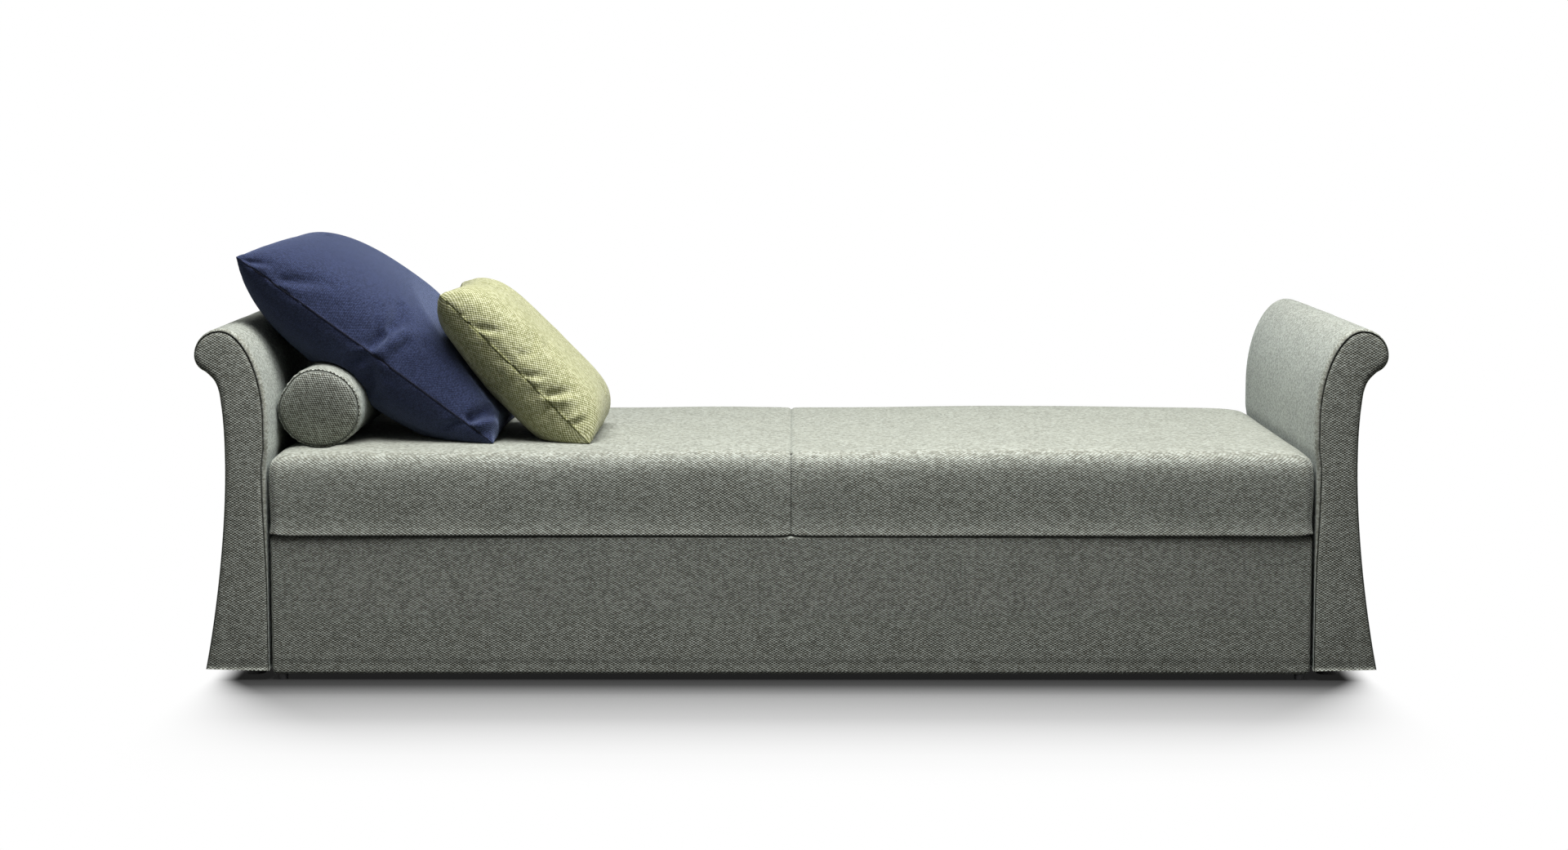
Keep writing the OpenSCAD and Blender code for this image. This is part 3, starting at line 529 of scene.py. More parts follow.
class SewnMesh:
    """Collects patches of cloth into one mesh, with the cloth's own coordinates, the painted shade along its
    seams and where it is pulled taut.
    """

    def __init__(self) -> None:
        """Start with no points and no faces."""
        self.points: list[Point] = []
        self.faces: list[list[int]] = []
        self.places: list[list[tuple[float, float]]] = []
        self.seam_shade: dict[int, float] = {}
        self.taut: dict[int, float] = {}
        self.slots: list[int] = []

    def add_points(self, points: Iterable[Sequence[float]]) -> list[int]:
        """Add points, in millimetres.

        Args:
            points: The points.

        Returns:
            Their numbers.
        """
        first = len(self.points)
        self.points.extend((p[0] * MM, p[1] * MM, p[2] * MM) for p in points)
        return list(range(first, len(self.points)))

    def add_face(self, ids: Sequence[int], places: Sequence[Sequence[float]], slot: int = 0) -> None:
        """Add one face with its cloth coordinates in millimetres.

        Args:
            ids: Its points' numbers.
            places: A cloth coordinate for each point.
            slot: Its material's place.
        """
        self.faces.append(list(ids))
        self.places.append([(p[0] * MM, p[1] * MM) for p in places])
        self.slots.append(slot)

    def add_rows(
        self,
        rows: Sequence[Sequence[int]],
        places: Sequence[Sequence[Sequence[float]]],
        closed: bool = False,
        flip: bool = False,
        slot: int = 0,
    ) -> None:
        """Span four-sided faces between rows of points.

        Args:
            rows: Rows with the same number of points.
            places: The cloth coordinates of each row, one more than the points where rows are closed.
            closed: Whether each row's end joins its start.
            flip: Whether to turn the faces over.
            slot: The material's place.
        """
        count = len(rows[0])
        for i in range(len(rows) - 1):
            for j in range(count if closed else count - 1):
                k = (j + 1) % count
                ids = [rows[i][j], rows[i][k], rows[i + 1][k], rows[i + 1][j]]
                spots = [places[i][j], places[i][j + 1], places[i + 1][j + 1], places[i + 1][j]]
                if flip:
                    ids.reverse()
                    spots.reverse()
                self.add_face(ids, spots, slot)

    def mark(self, ids: Iterable[int], amount: float = 1.0) -> None:
        """Paint shade onto points along a seam or stitch line, by an amount from 0 to 1."""
        for i in ids:
            self.seam_shade[i] = max(amount, self.seam_shade.get(i, 0.0))

    def pull(self, ids: Iterable[int], amount: float) -> None:
        """Mark points where the cloth is pulled flat round an edge, by an amount from 0 to 1."""
        self.taut.update(dict.fromkeys(ids, amount))

    def seen_from_below(self, number: int) -> Place:
        """Give a point's place on the plan, in millimetres."""
        return self.points[number][0] / MM, self.points[number][1] / MM

    def dress_seam(self, ids: Iterable[int], slot: int) -> None:
        """Give the faces along a seam a material of their own."""
        near = set(ids)
        self.slots = [slot if near.intersection(face) else old for face, old in zip(self.faces, self.slots)]

    def build(self, name: str, materials: Sequence[bpy.types.Material]) -> bpy.types.Object:
        """Make the object.

        Args:
            name: Its name.
            materials: Its materials in the order of their places.

        Returns:
            The object, smooth shaded and linked to the scene.
        """
        mesh = bpy.data.meshes.new(name)
        mesh.from_pydata(self.points, [], self.faces)
        for material in materials:
            mesh.materials.append(material)
        layer = mesh.uv_layers.new(name=CLOTH_MAP)
        flat = [c for places in self.places for p in places for c in p]
        layer.data.foreach_set("uv", flat)
        mesh.polygons.foreach_set("use_smooth", [True] * len(self.faces))
        mesh.polygons.foreach_set("material_index", self.slots)
        for layer_name, values in ((SEAM_SHADE, self.seam_shade), (TAUT, self.taut)):
            layer = mesh.attributes.new(layer_name, "FLOAT", "POINT")
            layer.data.foreach_set("value", [values.get(i, 0.0) for i in range(len(self.points))])
        mesh.validate()
        mesh.update()
        piece = bpy.data.objects.new(name, mesh)
        bpy.context.scene.collection.objects.link(piece)
        return piece


def waver(x: float, y: float, z: float, size: float, seed: float = 0.0) -> float:
    """Smooth unevenness from -1 to 1 at a point in millimetres, in waves of about a size."""
    return noise.noise(Vector((x / size + seed, y / size + 1.7 * seed, z / size)))


def ease(share: float) -> float:
    """Rise smoothly from 0 to 1 as a share goes from 0 to 1, and stay there."""
    c = min(max(share, 0.0), 1.0)
    return c * c * (3 - 2 * c)


def spread(start: float, end: float, step: float) -> list[float]:
    """Even steps from start to end, both included and none wider than a step."""
    count = max(1, math.ceil(abs(end - start) / step))
    return [start + (end - start) * i / count for i in range(count + 1)]


def fill_outline(outline: Sequence[Place], step: float) -> tuple[list[Place], list[list[int]]]:
    """Fill a flat closed outline with even triangles.

    Args:
        outline: Its points in order.
        step: Spacing of the points inside.

    Returns:
        All points, the outline's first, and the triangles by their numbers.
    """
    count = len(outline)
    ring = np.array(outline)
    low, high = ring.min(0), ring.max(0)
    inside = []
    for row, v in enumerate(spread(low[1] + step, high[1] - step, step)):
        for u in spread(low[0] + (row % 2) * step / 2, high[0], step):
            free = np.min(np.hypot(ring[:, 0] - u, ring[:, 1] - v)) > 0.6 * step
            if free and within(u, v, outline):
                inside.append((u, v))
    points = [Vector(p) for p in [*outline, *inside]]
    edges = [(i, (i + 1) % count) for i in range(count)]
    found, _, faces, origins, _, _ = delaunay_2d_cdt(points, edges, [list(range(count))], 1, 1e-4)
    numbers = [o[0] if o else i for i, o in enumerate(origins)]
    kept = [[numbers[i] for i in face] for face in faces]
    return [*outline, *inside], kept


def within(u: float, v: float, outline: Sequence[Place]) -> bool:
    """Tell whether a place lies inside a closed outline.

    Args:
        u: Place across.
        v: Place up.
        outline: The outline's points in order.

    Returns:
        True inside.
    """
    odd = False
    for (u1, v1), (u2, v2) in zip(outline, [*outline[1:], outline[0]]):
        if (v1 > v) != (v2 > v) and u < (u2 - u1) * (v - v1) / (v2 - v1) + u1:
            odd = not odd
    return odd


def bend(a: float, b: float, c: float, d: float, t: float) -> float:
    """Read a smooth curve that runs through four values.

    Args:
        a: The value before the stretch.
        b: The value where the stretch starts.
        c: The value where it ends.
        d: The value after it.
        t: The share of the stretch, from 0 to 1.

    Returns:
        The value there.
    """
    square = (2 * a - 5 * b + 4 * c - d) * t * t
    cube = (3 * b - a - 3 * c + d) * t**3
    return 0.5 * (2 * b + (c - a) * t + square + cube)


def through(points: Sequence[Place], step: float) -> list[Place]:
    """Run a smooth curve through points.

    Args:
        points: The points, with one before the start and one after the end that only steer it.
        step: The widest spacing.

    Returns:
        Points along the curve, from the second to the last but one.
    """
    found = []
    for p0, p1, p2, p3 in zip(points, points[1:], points[2:], points[3:]):
        count = max(1, math.ceil(math.dist(p1, p2) / step))
        for i in range(count):
            found.append(tuple(bend(*values, i / count) for values in zip(p0, p1, p2, p3)))
    return [*found, tuple(points[-2])]


def lengths_along(points: Sequence[Sequence[float]]) -> list[float]:
    """Measure how far each point lies along the line through them.

    Args:
        points: The points.

    Returns:
        The length from the first point to each.
    """
    found = [0.0]
    for a, b in zip(points, points[1:]):
        found.append(found[-1] + math.dist(a, b))
    return found


def rim_of(grid: Sequence[Sequence[object]]) -> list:
    """Once round a grid's edge: first row, last column, and backwards along last row and first column."""
    last, first = [row[-1] for row in grid[1:]], [row[0] for row in grid[-2:0:-1]]
    return [*grid[0], *last, *grid[-1][-2::-1], *first]


def round_corner(u: float, v: float, half_u: float, half_v: float, r: float) -> Place:
    """Move a place so that a rectangle's corners are round.

    Args:
        u: Place across, from the rectangle's middle.
        v: Place up, from its middle.
        half_u: Half its width.
        half_v: Half its height.
        r: Radius of its corners.

    Returns:
        The moved place.
    """
    a = (abs(u) - half_u + r) / r
    b = (abs(v) - half_v + r) / r
    if a <= 0 or b <= 0:
        return u, v
    scale = max(a, b) / math.hypot(a, b)
    return math.copysign(half_u - r + r * a * scale, u), math.copysign(half_v - r + r * b * scale, v)


class Side(Enum):
    """The two ends of the divan, by the sign of X."""

    LEFT = -1
    RIGHT = 1


# The arms


@dataclass
class Arm:
    """One scrolled arm: cloth wrapped from the seat's side over the scroll to the flared foot.

    A facing is sewn into each end. Places on the section run across from the arm's inner face and up from the
    floor.
    """

    side: Side
    inner_x: float = 978.0
    half_depth: float = 450.0
    top: float = 663.0
    hem: float = 18.0
    # The mattress presses the inner side in by this much, up to a height and fading over another
    give: float = 4.5
    give_top: float = 440.0
    give_fade: float = 40.0
    waist_w: float = 80.0
    waist_height: float = 409.0
    shoulder_h: float = 179.0
    scroll_r: float = 50.0
    scroll_u: float = 84.0
    curl_r: float = 32.0
    curl_turn: float = 68.0
    flare_w: float = 43.0
    flare_power: float = 1.75
    # Underside of the scroll from its curl down to the waist: shares across and up
    neck: tuple[Place, ...] = (
        (0.64, 0.937),
        (0.4, 0.868),
        (0.25, 0.776),
        (0.164, 0.66),
        (0.075, 0.489),
        (0.015, 0.26),
    )
    # Degrees between points round the shoulder, the scroll and the curl
    arc_steps: tuple[float, float, float] = (4.0, 6.0, 7.0)
    step: float = 9.0
    hem_stitch: float = 20.0
    stitch_tone: float = 0.3
    # The outer hem lies this much higher than the inner one, fading over a height
    hem_rise: float = 2.5
    hem_fade: float = 60.0
    foot_width: float = 123.0
    dust_half: float = 61.0
    # Inset of the facing's seam, and how much further in it runs round the scroll: from a length past the
    # inner hem to one past the crest, each with the length over which it changes
    seam_inset: float = 1.4
    scroll_inset: float = 7.1
    inset_from: Place = (130.0, 240.0)
    inset_to: Place = (100.0, 160.0)
    # Rows across the facing's seam: inset past the seam, depth, and how dark its painted shade is
    seam_rows: tuple[tuple[float, float, float], ...] = (
        (1.6, 1.2, 0.0),
        (0.5, 3.4, 0.6),
        (-0.3, 3.6, 0.8),
        (-1.1, 1.4, 0.2),
    )
    # Rows round the edge in degrees, and how taut the cloth is from the facing's rim to the last of them
    turn_steps: tuple[float, ...] = (0.0, 18.0, 36.0, 54.0, 72.0, 90.0)
    taut_rows: tuple[float, ...] = (0.3, 0.7, 1.0, 1.0, 1.0, 1.0, 1.0, 1.0, 0.9, 0.6)
    wrap_rows: int = 38
    wave: float = 1.1
    wave_mm: float = 170.0
    belly: float = 1.2
    # How far the facing stands out between its seams, and how far the stitches draw it in
    facing_puff: float = 0.9
    stitch_depth: float = 0.9

    def path(self) -> list[Place]:
        """Trace the wrap's section from the seat's side at the hem over the scroll to the outer hem.

        Returns:
            Places across and up, in millimetres from the arm's inner face.
        """
        low = self.top - self.shoulder_h
        scroll_z = self.top - self.scroll_r
        curl_u = self.scroll_u + self.scroll_r - self.curl_r
        shoulder_step, scroll_step, curl_step = self.arc_steps
        found = [
            (self.give * ease((self.give_top - z) / self.give_fade), z)
            for z in spread(self.hem, low, self.step)
        ]
        for a in map(math.radians, spread(0, 90, shoulder_step)[1:]):
            found.append((self.scroll_u * (1 - math.cos(a)), low + self.shoulder_h * math.sin(a)))
        for a in map(math.radians, spread(90, 0, scroll_step)[1:]):
            u = self.scroll_u + self.scroll_r * math.cos(a)
            found.append((u, scroll_z + self.scroll_r * math.sin(a)))
        for a in map(math.radians, spread(0, -self.curl_turn, curl_step)[1:-1]):
            found.append((curl_u + self.curl_r * math.cos(a), scroll_z + self.curl_r * math.sin(a)))
        turn = math.radians(self.curl_turn)
        end_u = curl_u + self.curl_r * math.cos(turn)
        end_z = scroll_z - self.curl_r * math.sin(turn)
        width, rise = end_u - self.waist_w, end_z - self.waist_height
        steer = [found[-1], (end_u, end_z)]
        steer += [(self.waist_w + width * u, self.waist_height + rise * v) for u, v in self.neck]
        fall = self.waist_height - self.hem
        flare = [
            (self.waist_w + self.flare_w * t**self.flare_power, self.waist_height - fall * t)
            for t in spread(0, 1, 0.025)
        ]
        steer += flare[:2]
        return [*found, *through(steer, self.step)[:-1], *flare]

    def normals(self, path: Sequence[Place]) -> list[Place]:
        """Give the outward direction at each place of the section.

        Args:
            path: The section.

        Returns:
            Unit directions, level at both hems.
        """
        found = []
        for k in range(len(path)):
            a, b = path[max(k - 1, 0)], path[min(k + 1, len(path) - 1)]
            long = math.dist(a, b)
            found.append((-(b[1] - a[1]) / long, (b[0] - a[0]) / long))
        found[0] = (-1.0, 0.0)
        found[-1] = (1.0, 0.0)
        return found

    def seam_insets(self, path: Sequence[Place]) -> list[float]:
        """Say how far the facing's seam runs inside the section's edge.

        Args:
            path: The section.

        Returns:
            An inset for each place, in millimetres: more from the seat up to just past the scroll's crest.
        """
        lengths = lengths_along(path)
        (start, rising), (past, falling) = self.inset_from, self.inset_to
        end = lengths[max(range(len(path)), key=lambda k: path[k][1])] + past
        return [
            self.seam_inset + self.scroll_inset * ease((end - s) / falling) * ease((s - start) / rising)
            for s in lengths
        ]

    def build(self, palette: Palette) -> bpy.types.Object:
        """Build the arm's cover.

        Args:
            palette: Where the finishes come from.

        Returns:
            The cover.
        """
        cloth = SewnMesh()
        path = self.path()
        front, rear = self._edge_rows(path, True), self._edge_rows(path, False)
        all_rows = [*front, *self._wrapped(path, front[-1], rear[-1]), *rear[::-1]]
        length = lengths_along(path)
        across = [0.0] * len(path)
        rows, places = [], []
        for i, row in enumerate(all_rows):
            rows.append(cloth.add_points(row))
            if i:
                across = [s + math.dist(p, q) for s, p, q in zip(across, all_rows[i - 1], row)]
            places.append(list(zip(across, length)))
        for order in (rows, rows[::-1]):
            for row, (_, _, amount) in zip(order, self.seam_rows):
                cloth.mark(row, amount)
            for row, amount in zip(order, self.taut_rows):
                cloth.pull(row, amount)
        self._stitch_hem(cloth, rows, path)
        cloth.add_rows(rows, places, flip=self.side is Side.LEFT)
        rims = [self._facing(cloth, rows[0], True), self._facing(cloth, rows[-1], False)]
        self._underside(cloth, rows, rims)
        node = f"{self.side.name.lower()}_arm"
        piece = cloth.build(f"{node}_upholstery", [palette.of(HOPSACK), palette.of(DUST_COVER)])
        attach(piece, "base")
        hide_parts(f"{node}_cover", f"{node}_foam")
        return piece

    def _at(self, u: float, y: float, z: float) -> Point:
        """Place a point of the section in the divan."""
        return self.side.value * (self.inner_x + u), y, z

    def _hung(self, u: float, z: float) -> float:
        """Height of a point of the section, a little more towards the outer hem."""
        return z + max(0.0, 1 - (z - self.hem) / self.hem_fade) * self.hem_rise * (u / self.foot_width)

    def _edge_rows(self, path: Sequence[Place], front: bool) -> list[list[Point]]:
        """Run rows from the facing's rim through its seam and round the edge onto the wrap.

        Args:
            path: The section.
            front: Whether it is the front end.

        Returns:
            The rows, the facing's rim first.
        """
        face = -self.half_depth if front else self.half_depth
        back = 1 if front else -1
        insets = self.seam_insets(path)
        shifts = [[(s + more, depth) for s in insets] for more, depth, _ in self.seam_rows]
        for a in map(math.radians, self.turn_steps):
            near, far = 1 - math.sin(a), 1 - math.cos(a)
            shifts.append([((s - 1.1) * near, (s + 1.5) * far + 0.6 * near) for s in insets])
        out = self.normals(path)
        return [
            [
                self._at(u - nu * inset, face + back * depth, self._hung(u, z - nz * inset))
                for (u, z), (nu, nz), (inset, depth) in zip(path, out, shift)
            ]
            for shift in shifts
        ]

    def _wrapped(
        self, path: Sequence[Place], front: Sequence[Point], rear: Sequence[Point]
    ) -> list[list[Point]]:
        """Span the wrap between its two edges, a little slack and wavy.

        Args:
            path: The section.
            front: The last row of the front edge.
            rear: The last row of the rear edge.

        Returns:
            The rows between them.
        """
        sign = self.side.value
        out = self.normals(path)
        wrap = []
        for t in spread(0, 1, 1 / self.wrap_rows)[1:-1]:
            row = []
            for (u, z), (nu, nz), a, b in zip(path, out, front, rear):
                y = a[1] + (b[1] - a[1]) * t
                hold = ease(min(t, 1 - t) / 0.12) * ease((z - self.hem) / 50)
                lift = self.wave * waver(sign * u * 2, y, z, self.wave_mm, 3.0 * sign) * hold
                lift += self.belly * math.sin(math.pi * t) * ease((z - 90) / 200)
                row.append(self._at(u + nu * lift, y, self._hung(u, z + nz * lift)))
            wrap.append(row)
        return wrap

    def _stitch_hem(
        self, cloth: SewnMesh, rows: Sequence[Sequence[int]], path: Sequence[Place]
    ) -> None:
        """Paint shade along the stitch line that runs round the hem.

        Args:
            cloth: The mesh.
            rows: Its rows.
            path: The section that each row follows.
        """
        line = self.hem + self.hem_stitch
        for end in (range(len(path) // 2), range(len(path) // 2, len(path))):
            nearest = min(end, key=lambda k: abs(path[k][1] - line))
            for row in rows:
                cloth.mark([row[nearest]], self.stitch_tone)

    def _facing(self, cloth: SewnMesh, rim: list[int], front: bool) -> list[int]:
        """Fill one end with its facing.

        Args:
            cloth: The mesh.
            rim: The numbers of the points round the facing, from hem to hem.
            front: Whether it is the front end.

        Returns:
            The numbers of the points along the facing's hem, from the outer side to the inner.
        """
        sign = self.side.value
        y_face = cloth.points[rim[len(rim) // 2]][1] / MM
        flat = [(sign * cloth.points[i][0] / MM, cloth.points[i][2] / MM) for i in rim]
        last, first = flat[-1], flat[0]
        hem = [
            (last[0] + (first[0] - last[0]) * t, last[1] + (first[1] - last[1]) * t)
            for t in spread(0, 1, 0.1)[1:-1]
        ]
        points, faces = fill_outline([*flat, *hem], 8.0)
        ring = np.array(flat)
        out = -1 if front else 1
        line = self.hem + self.hem_stitch
        fresh = []
        for u, z in points[len(rim) :]:
            near = float(np.min(np.hypot(ring[:, 0] - u, ring[:, 1] - z)))
            puff = self.facing_puff * ease(near / 26) + 0.5 * waver(sign * u, 0, z, 90, 7.0 + sign)
            stitch = self.stitch_depth * math.exp(-(((z - line) / 2.5) ** 2))
            fresh.append((sign * u, y_face + out * (puff - stitch), z))
        numbers = [*rim, *cloth.add_points(fresh)]
        flip = (sign > 0) == front
        for face in faces:
            spots = [points[i] for i in face]
            ids = [numbers[i] for i in face]
            turn = sum((a[0] - b[0]) * (a[1] + b[1]) for a, b in zip(spots, [*spots[1:], spots[0]]))
            if (turn > 0) != flip:
                ids.reverse()
                spots.reverse()
            cloth.add_face(ids, spots)
        for number, (_, z) in zip(numbers, points):
            if abs(z - line) < 4 and number not in rim:
                cloth.mark([number], self.stitch_tone)
        return numbers[len(rim) : len(rim) + len(hem)]

    def _underside(
        self, cloth: SewnMesh, rows: Sequence[Sequence[int]], rims: Sequence[list[int]]
    ) -> None:
        """Turn the hem in and close the underside with a dust cover.

        Args:
            cloth: The mesh.
            rows: The wrap's rows.
            rims: The hem points of the front and rear facings, from the outer side to the inner.
        """
        sign = self.side.value
        inner = [row[0] for row in rows]
        outer = [row[-1] for row in rows]
        loop = [*inner, *rims[1][::-1], *outer[::-1], *rims[0]]
        half = self.dust_half
        middle = self.inner_x + half
        loops = [loop]
        for inset, lift in ((3.0, 0.5), (3.5, 8.0)):
            ring = []
            for i in loop:
                x, y, z = (c / MM for c in cloth.points[i])
                u = (sign * x - middle) * (1 - inset / half)
                ring.append((sign * (middle + u), y * (1 - inset / self.half_depth), z + lift))
            loops.append(cloth.add_points(ring))
        spots = [[cloth.seen_from_below(i) for i in [*ring, ring[0]]] for ring in loops]
        cloth.add_rows(loops, spots, closed=True, flip=sign > 0)
        cap = loops[-1] if sign < 0 else loops[-1][::-1]
        cloth.add_face(cap, [cloth.seen_from_below(i) for i in cap], 1)


# Panels


@dataclass
class Panel:
    """An upholstered board: cloth pulled over a plywood board, with a stitched hem along its lower edge."""

    name: str
    body: str
    node: str
    face_y: float
    half_width: float = 977.0
    low: float = 11.0
    high: float = 273.4
    corner_r: float = 8.0
    edge_r: float = 5.0
    board_back: float = 425.5
    turned_in: float = 6.0
    step: float = 9.0
    # Grid lines in from an edge
    edge_lines: tuple[float, ...] = (0.0, 2.0, 4.5, 8.0, 12.0)
    # Inset and depth of the rows round the edge
    edge_rows: tuple[Place, ...] = ((3.2, 0.7), (1.4, 2.0), (0.3, 4.0), (0.0, 6.5))
    hem_stitch: float = 20.0
    stitch_tone: float = 0.3
    stitch_depth: float = 0.9
    wave: float = 0.8
    wave_mm: float = 210.0

    def build(self, palette: Palette) -> bpy.types.Object:
        """Build the panel's cover.

        Args:
            palette: Where the finishes come from.

        Returns:
            The cover.
        """
        cloth = SewnMesh()
        rear = self.face_y > 0
        xs = self._stops(-self.half_width, self.half_width)
        zs = self._stops(self.low, self.high)
        spots = [[(x, z) for x in xs] for z in zs]
        grid = [cloth.add_points(self._front(x, z) for x, z in row) for row in spots]
        cloth.add_rows(grid, spots, flip=rear)
        line = self.low + self.hem_stitch
        cloth.mark(grid[min(range(len(zs)), key=lambda i: abs(zs[i] - line))], self.stitch_tone)
        rim = rim_of(spots)
        loops = [rim_of(grid)]
        depth = abs(self.face_y) - self.board_back
        for inset, back in (*self.edge_rows, (0.0, depth), (self.turned_in, depth + 0.6)):
            loops.append(cloth.add_points(self._at(x, z, inset, back) for x, z in rim))
        lengths = lengths_along([*rim, rim[0]])
        down = (0.0, 3.0, 6.0, 9.0, 12.0, depth + 6.0, depth + 12.0)
        cloth.add_rows(loops, [[(s, d) for s in lengths] for d in down], closed=True, flip=not rear)
        cap = loops[-1][::-1] if rear else loops[-1]
        cloth.add_face(cap, [(0.0, 0.0)] * len(cap), 1)
        piece = cloth.build(self.name, [palette.of(HOPSACK), palette.of(DUST_COVER)])
        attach(piece, self.body)
        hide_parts(self.node)
        return piece

    def _at(self, x: float, z: float, inset: float, back: float, lift: float = 0.0) -> Point:
        """Put a grid point on the cloth, with rounded corners.

        Args:
            x: Place along the panel.
            z: Height.
            inset: How far in from the panel's outline.
            back: How far behind the face.
            lift: How far the cloth stands out there.

        Returns:
            The point.
        """
        mid_z = (self.low + self.high) / 2
        half_z = self.high - mid_z
        x, up = round_corner(x, z - mid_z, self.half_width, half_z, self.corner_r)
        x *= 1 - inset / self.half_width
        z = mid_z + up * (1 - inset / half_z)
        return x, math.copysign(abs(self.face_y) - back + lift, self.face_y), z

    def _front(self, x: float, z: float) -> Point:
        """Put a grid point on the face, where the cloth is wavy and the stitches draw it in.

        Args:
            x: Place along the panel.
            z: Height.

        Returns:
            The point.
        """
        x_at, _, z_at = self._at(x, z, self.edge_r, 0.0)
        edge = min(self.half_width - abs(x_at), z_at - self.low, self.high - z_at)
        lift = self.wave * waver(x_at, 0, z_at, self.wave_mm, 11.0) * ease(edge / 60) - 0.4
        lift -= self.stitch_depth * math.exp(-(((z_at - self.low - self.hem_stitch) / 2.2) ** 2))
        return self._at(x, z, self.edge_r, 0.0, lift)

    def _stops(self, low: float, high: float) -> list[float]:
        """Place the grid lines, fine near both ends.

        Args:
            low: The first line.
            high: The last line.

        Returns:
            The lines.
        """
        near = self.edge_lines
        middle = spread(low + near[-1], high - near[-1], self.step)
        return [*(low + n for n in near[:-1]), *middle, *(high - n for n in near[-2::-1])]


# Mattresses


@dataclass
class MattressCover:
    """A boxed mattress cover: a flat top that rolls over soft edges into a border.

    The border kicks out at its foot and ends in a turned-in hem. Places on the plan run from the mattress's
    middle.
    """

    name: str
    body: str
    nodes: tuple[str, ...]
    finish: WovenCloth
    slot: str
    half_length: float
    half_depth: float
    centre_y: float
    low: float
    height: float
    draw: float
    centre_seam: bool
    # Broad swells of the top along the mattress: place, width and height
    swells: tuple[tuple[float, float, float], ...] = ()
    # What presses the top in: its place, height of its axis, radius and half length
    dent: tuple[float, float, float, float] | None = None
    shoulder: float = 6.5
    edge_reach: float = 24.0
    edge_fall: float = 12.2
    end_reach: float = 65.0
    end_fall: float = 6.0
    corner_r: float = 7.5
    end_seam: float = 7.5
    step: float = 13.0
    # Grid lines in from an edge, and out from the seam
    edge_lines: tuple[float, ...] = (0.0, 3.75, 7.5, 15.0, 22.5, 30.0, 38.0)
    seam_lines: tuple[float, ...] = (0.0, 1.8, 3.5, 6.5, 10.0)
    # Drops below the top where the rolled edge has its rows, and the turned-in hem past the border's foot
    roll_drops: tuple[float, ...] = (1.2, 3.0, 5.5, 8.5, 12.0, 16.0, 21.0, 27.0)
    hem_rows: tuple[Place, ...] = (
        (-2.0, -2.8), (0.4, -3.0), (1.8, -2.4), (2.1, -0.6), (0.6, 4.0), (-0.4, 24.0),
    )
    # How dark the painted shade of the seam shows on the top, down the border and at the ends
    seam_shade_tones: tuple[float, float, float] = (0.35, 0.75, 0.4)

    def top_at(self, x: float, y: float) -> float:
        """Give the height of the top.

        Args:
            x: Place along the mattress.
            y: Place across it.

        Returns:
            The height over the floor.
        """
        end = max(self.half_length - abs(x), 1.0)
        edge = max(self.half_depth - abs(y) - self.edge_reach, 0.0)
        z = self.low + self.height - 0.5 * self.end_fall * math.log(1 + (self.end_reach / end) ** 2)
        z -= 0.6 * self.shoulder * math.exp(-edge / 8) + 0.4 * self.shoulder * (1 - ease(edge / 120))
        z += sum(high * math.exp(-(((x - at) / wide) ** 2)) for at, wide, high in self.swells)
        if self.dent:
            at, axis_z, r, reach = self.dent
            off = abs(x - at)
            if off < 0.98 * r:
                under = axis_z - math.sqrt(r * r - off * off)
                free = 30 * ease((abs(y) - reach) / 30)
                z = 0.5 * (z + under + free - math.sqrt((z - under - free) ** 2 + 4.0))
        return z

    def build(self, palette: Palette) -> bpy.types.Object:
        """Build the cover.

        Args:
            palette: Where the finishes come from.

        Returns:
            The cover.
        """
        cloth = SewnMesh()
        xs = self._stops(self.half_length, self.centre_seam)
        ys = self._stops(self.half_depth, False)
        spots = [[(x, y) for x in xs] for y in ys]
        grid = [cloth.add_points(self._top_point(x, y) for x, y in row) for row in spots]
        cloth.add_rows(grid, spots)
        middle = min(range(len(xs)), key=lambda i: abs(xs[i]))
        for row in grid:
            cloth.pull(row, 1.0)
            if self.centre_seam:
                cloth.mark([row[middle]], self.seam_shade_tones[0])
        rim = rim_of(spots)
        loops = [rim_of(grid)]
        heights = [cloth.points[number][2] / MM for number in loops[0]]
        nominal = self.top_at(0.0, self.half_depth - self.edge_reach)
        profile = self._border(nominal)
        for row in profile:
            hung = (self._hung(spot, high, nominal, row) for spot, high in zip(rim, heights))
            loops.append(cloth.add_points(hung))
            cloth.pull(loops[-1], ease(1 - row[0] / 15))
        for loop in loops:
            self._mark_seams(cloth, loop, rim)
        lengths = lengths_along([*rim, rim[0]])
        downs = lengths_along([(0.0, self.edge_reach), *((drop, across) for drop, across, _ in profile)])
        places = [[(s, self.half_depth - self.edge_reach - d) for s in lengths] for d in downs]
        cloth.add_rows(loops, places, closed=True, flip=True)
        cap = loops[-1][::-1]
        cloth.add_face(cap, [cloth.seen_from_below(i) for i in cap])
        piece = cloth.build(self.name, [palette.of(self.finish)])
        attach(piece, self.body)
        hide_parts(*self.nodes)
        return piece

    def _top_point(self, x: float, y: float) -> Point:
        """Put a grid point on the top.

        Args:
            x: Place along the mattress.
            y: Place across it.

        Returns:
            The point.
        """
        rounded = round_corner(x, y, self.half_length, self.half_depth, self.corner_r)
        mx, my = self._drawn(*rounded, self.edge_reach)
        z = self.top_at(mx, my) - self._seam_dip(mx) + 1.2 * waver(mx, my, 0, 260, 5.0)
        return mx, my + self.centre_y, z

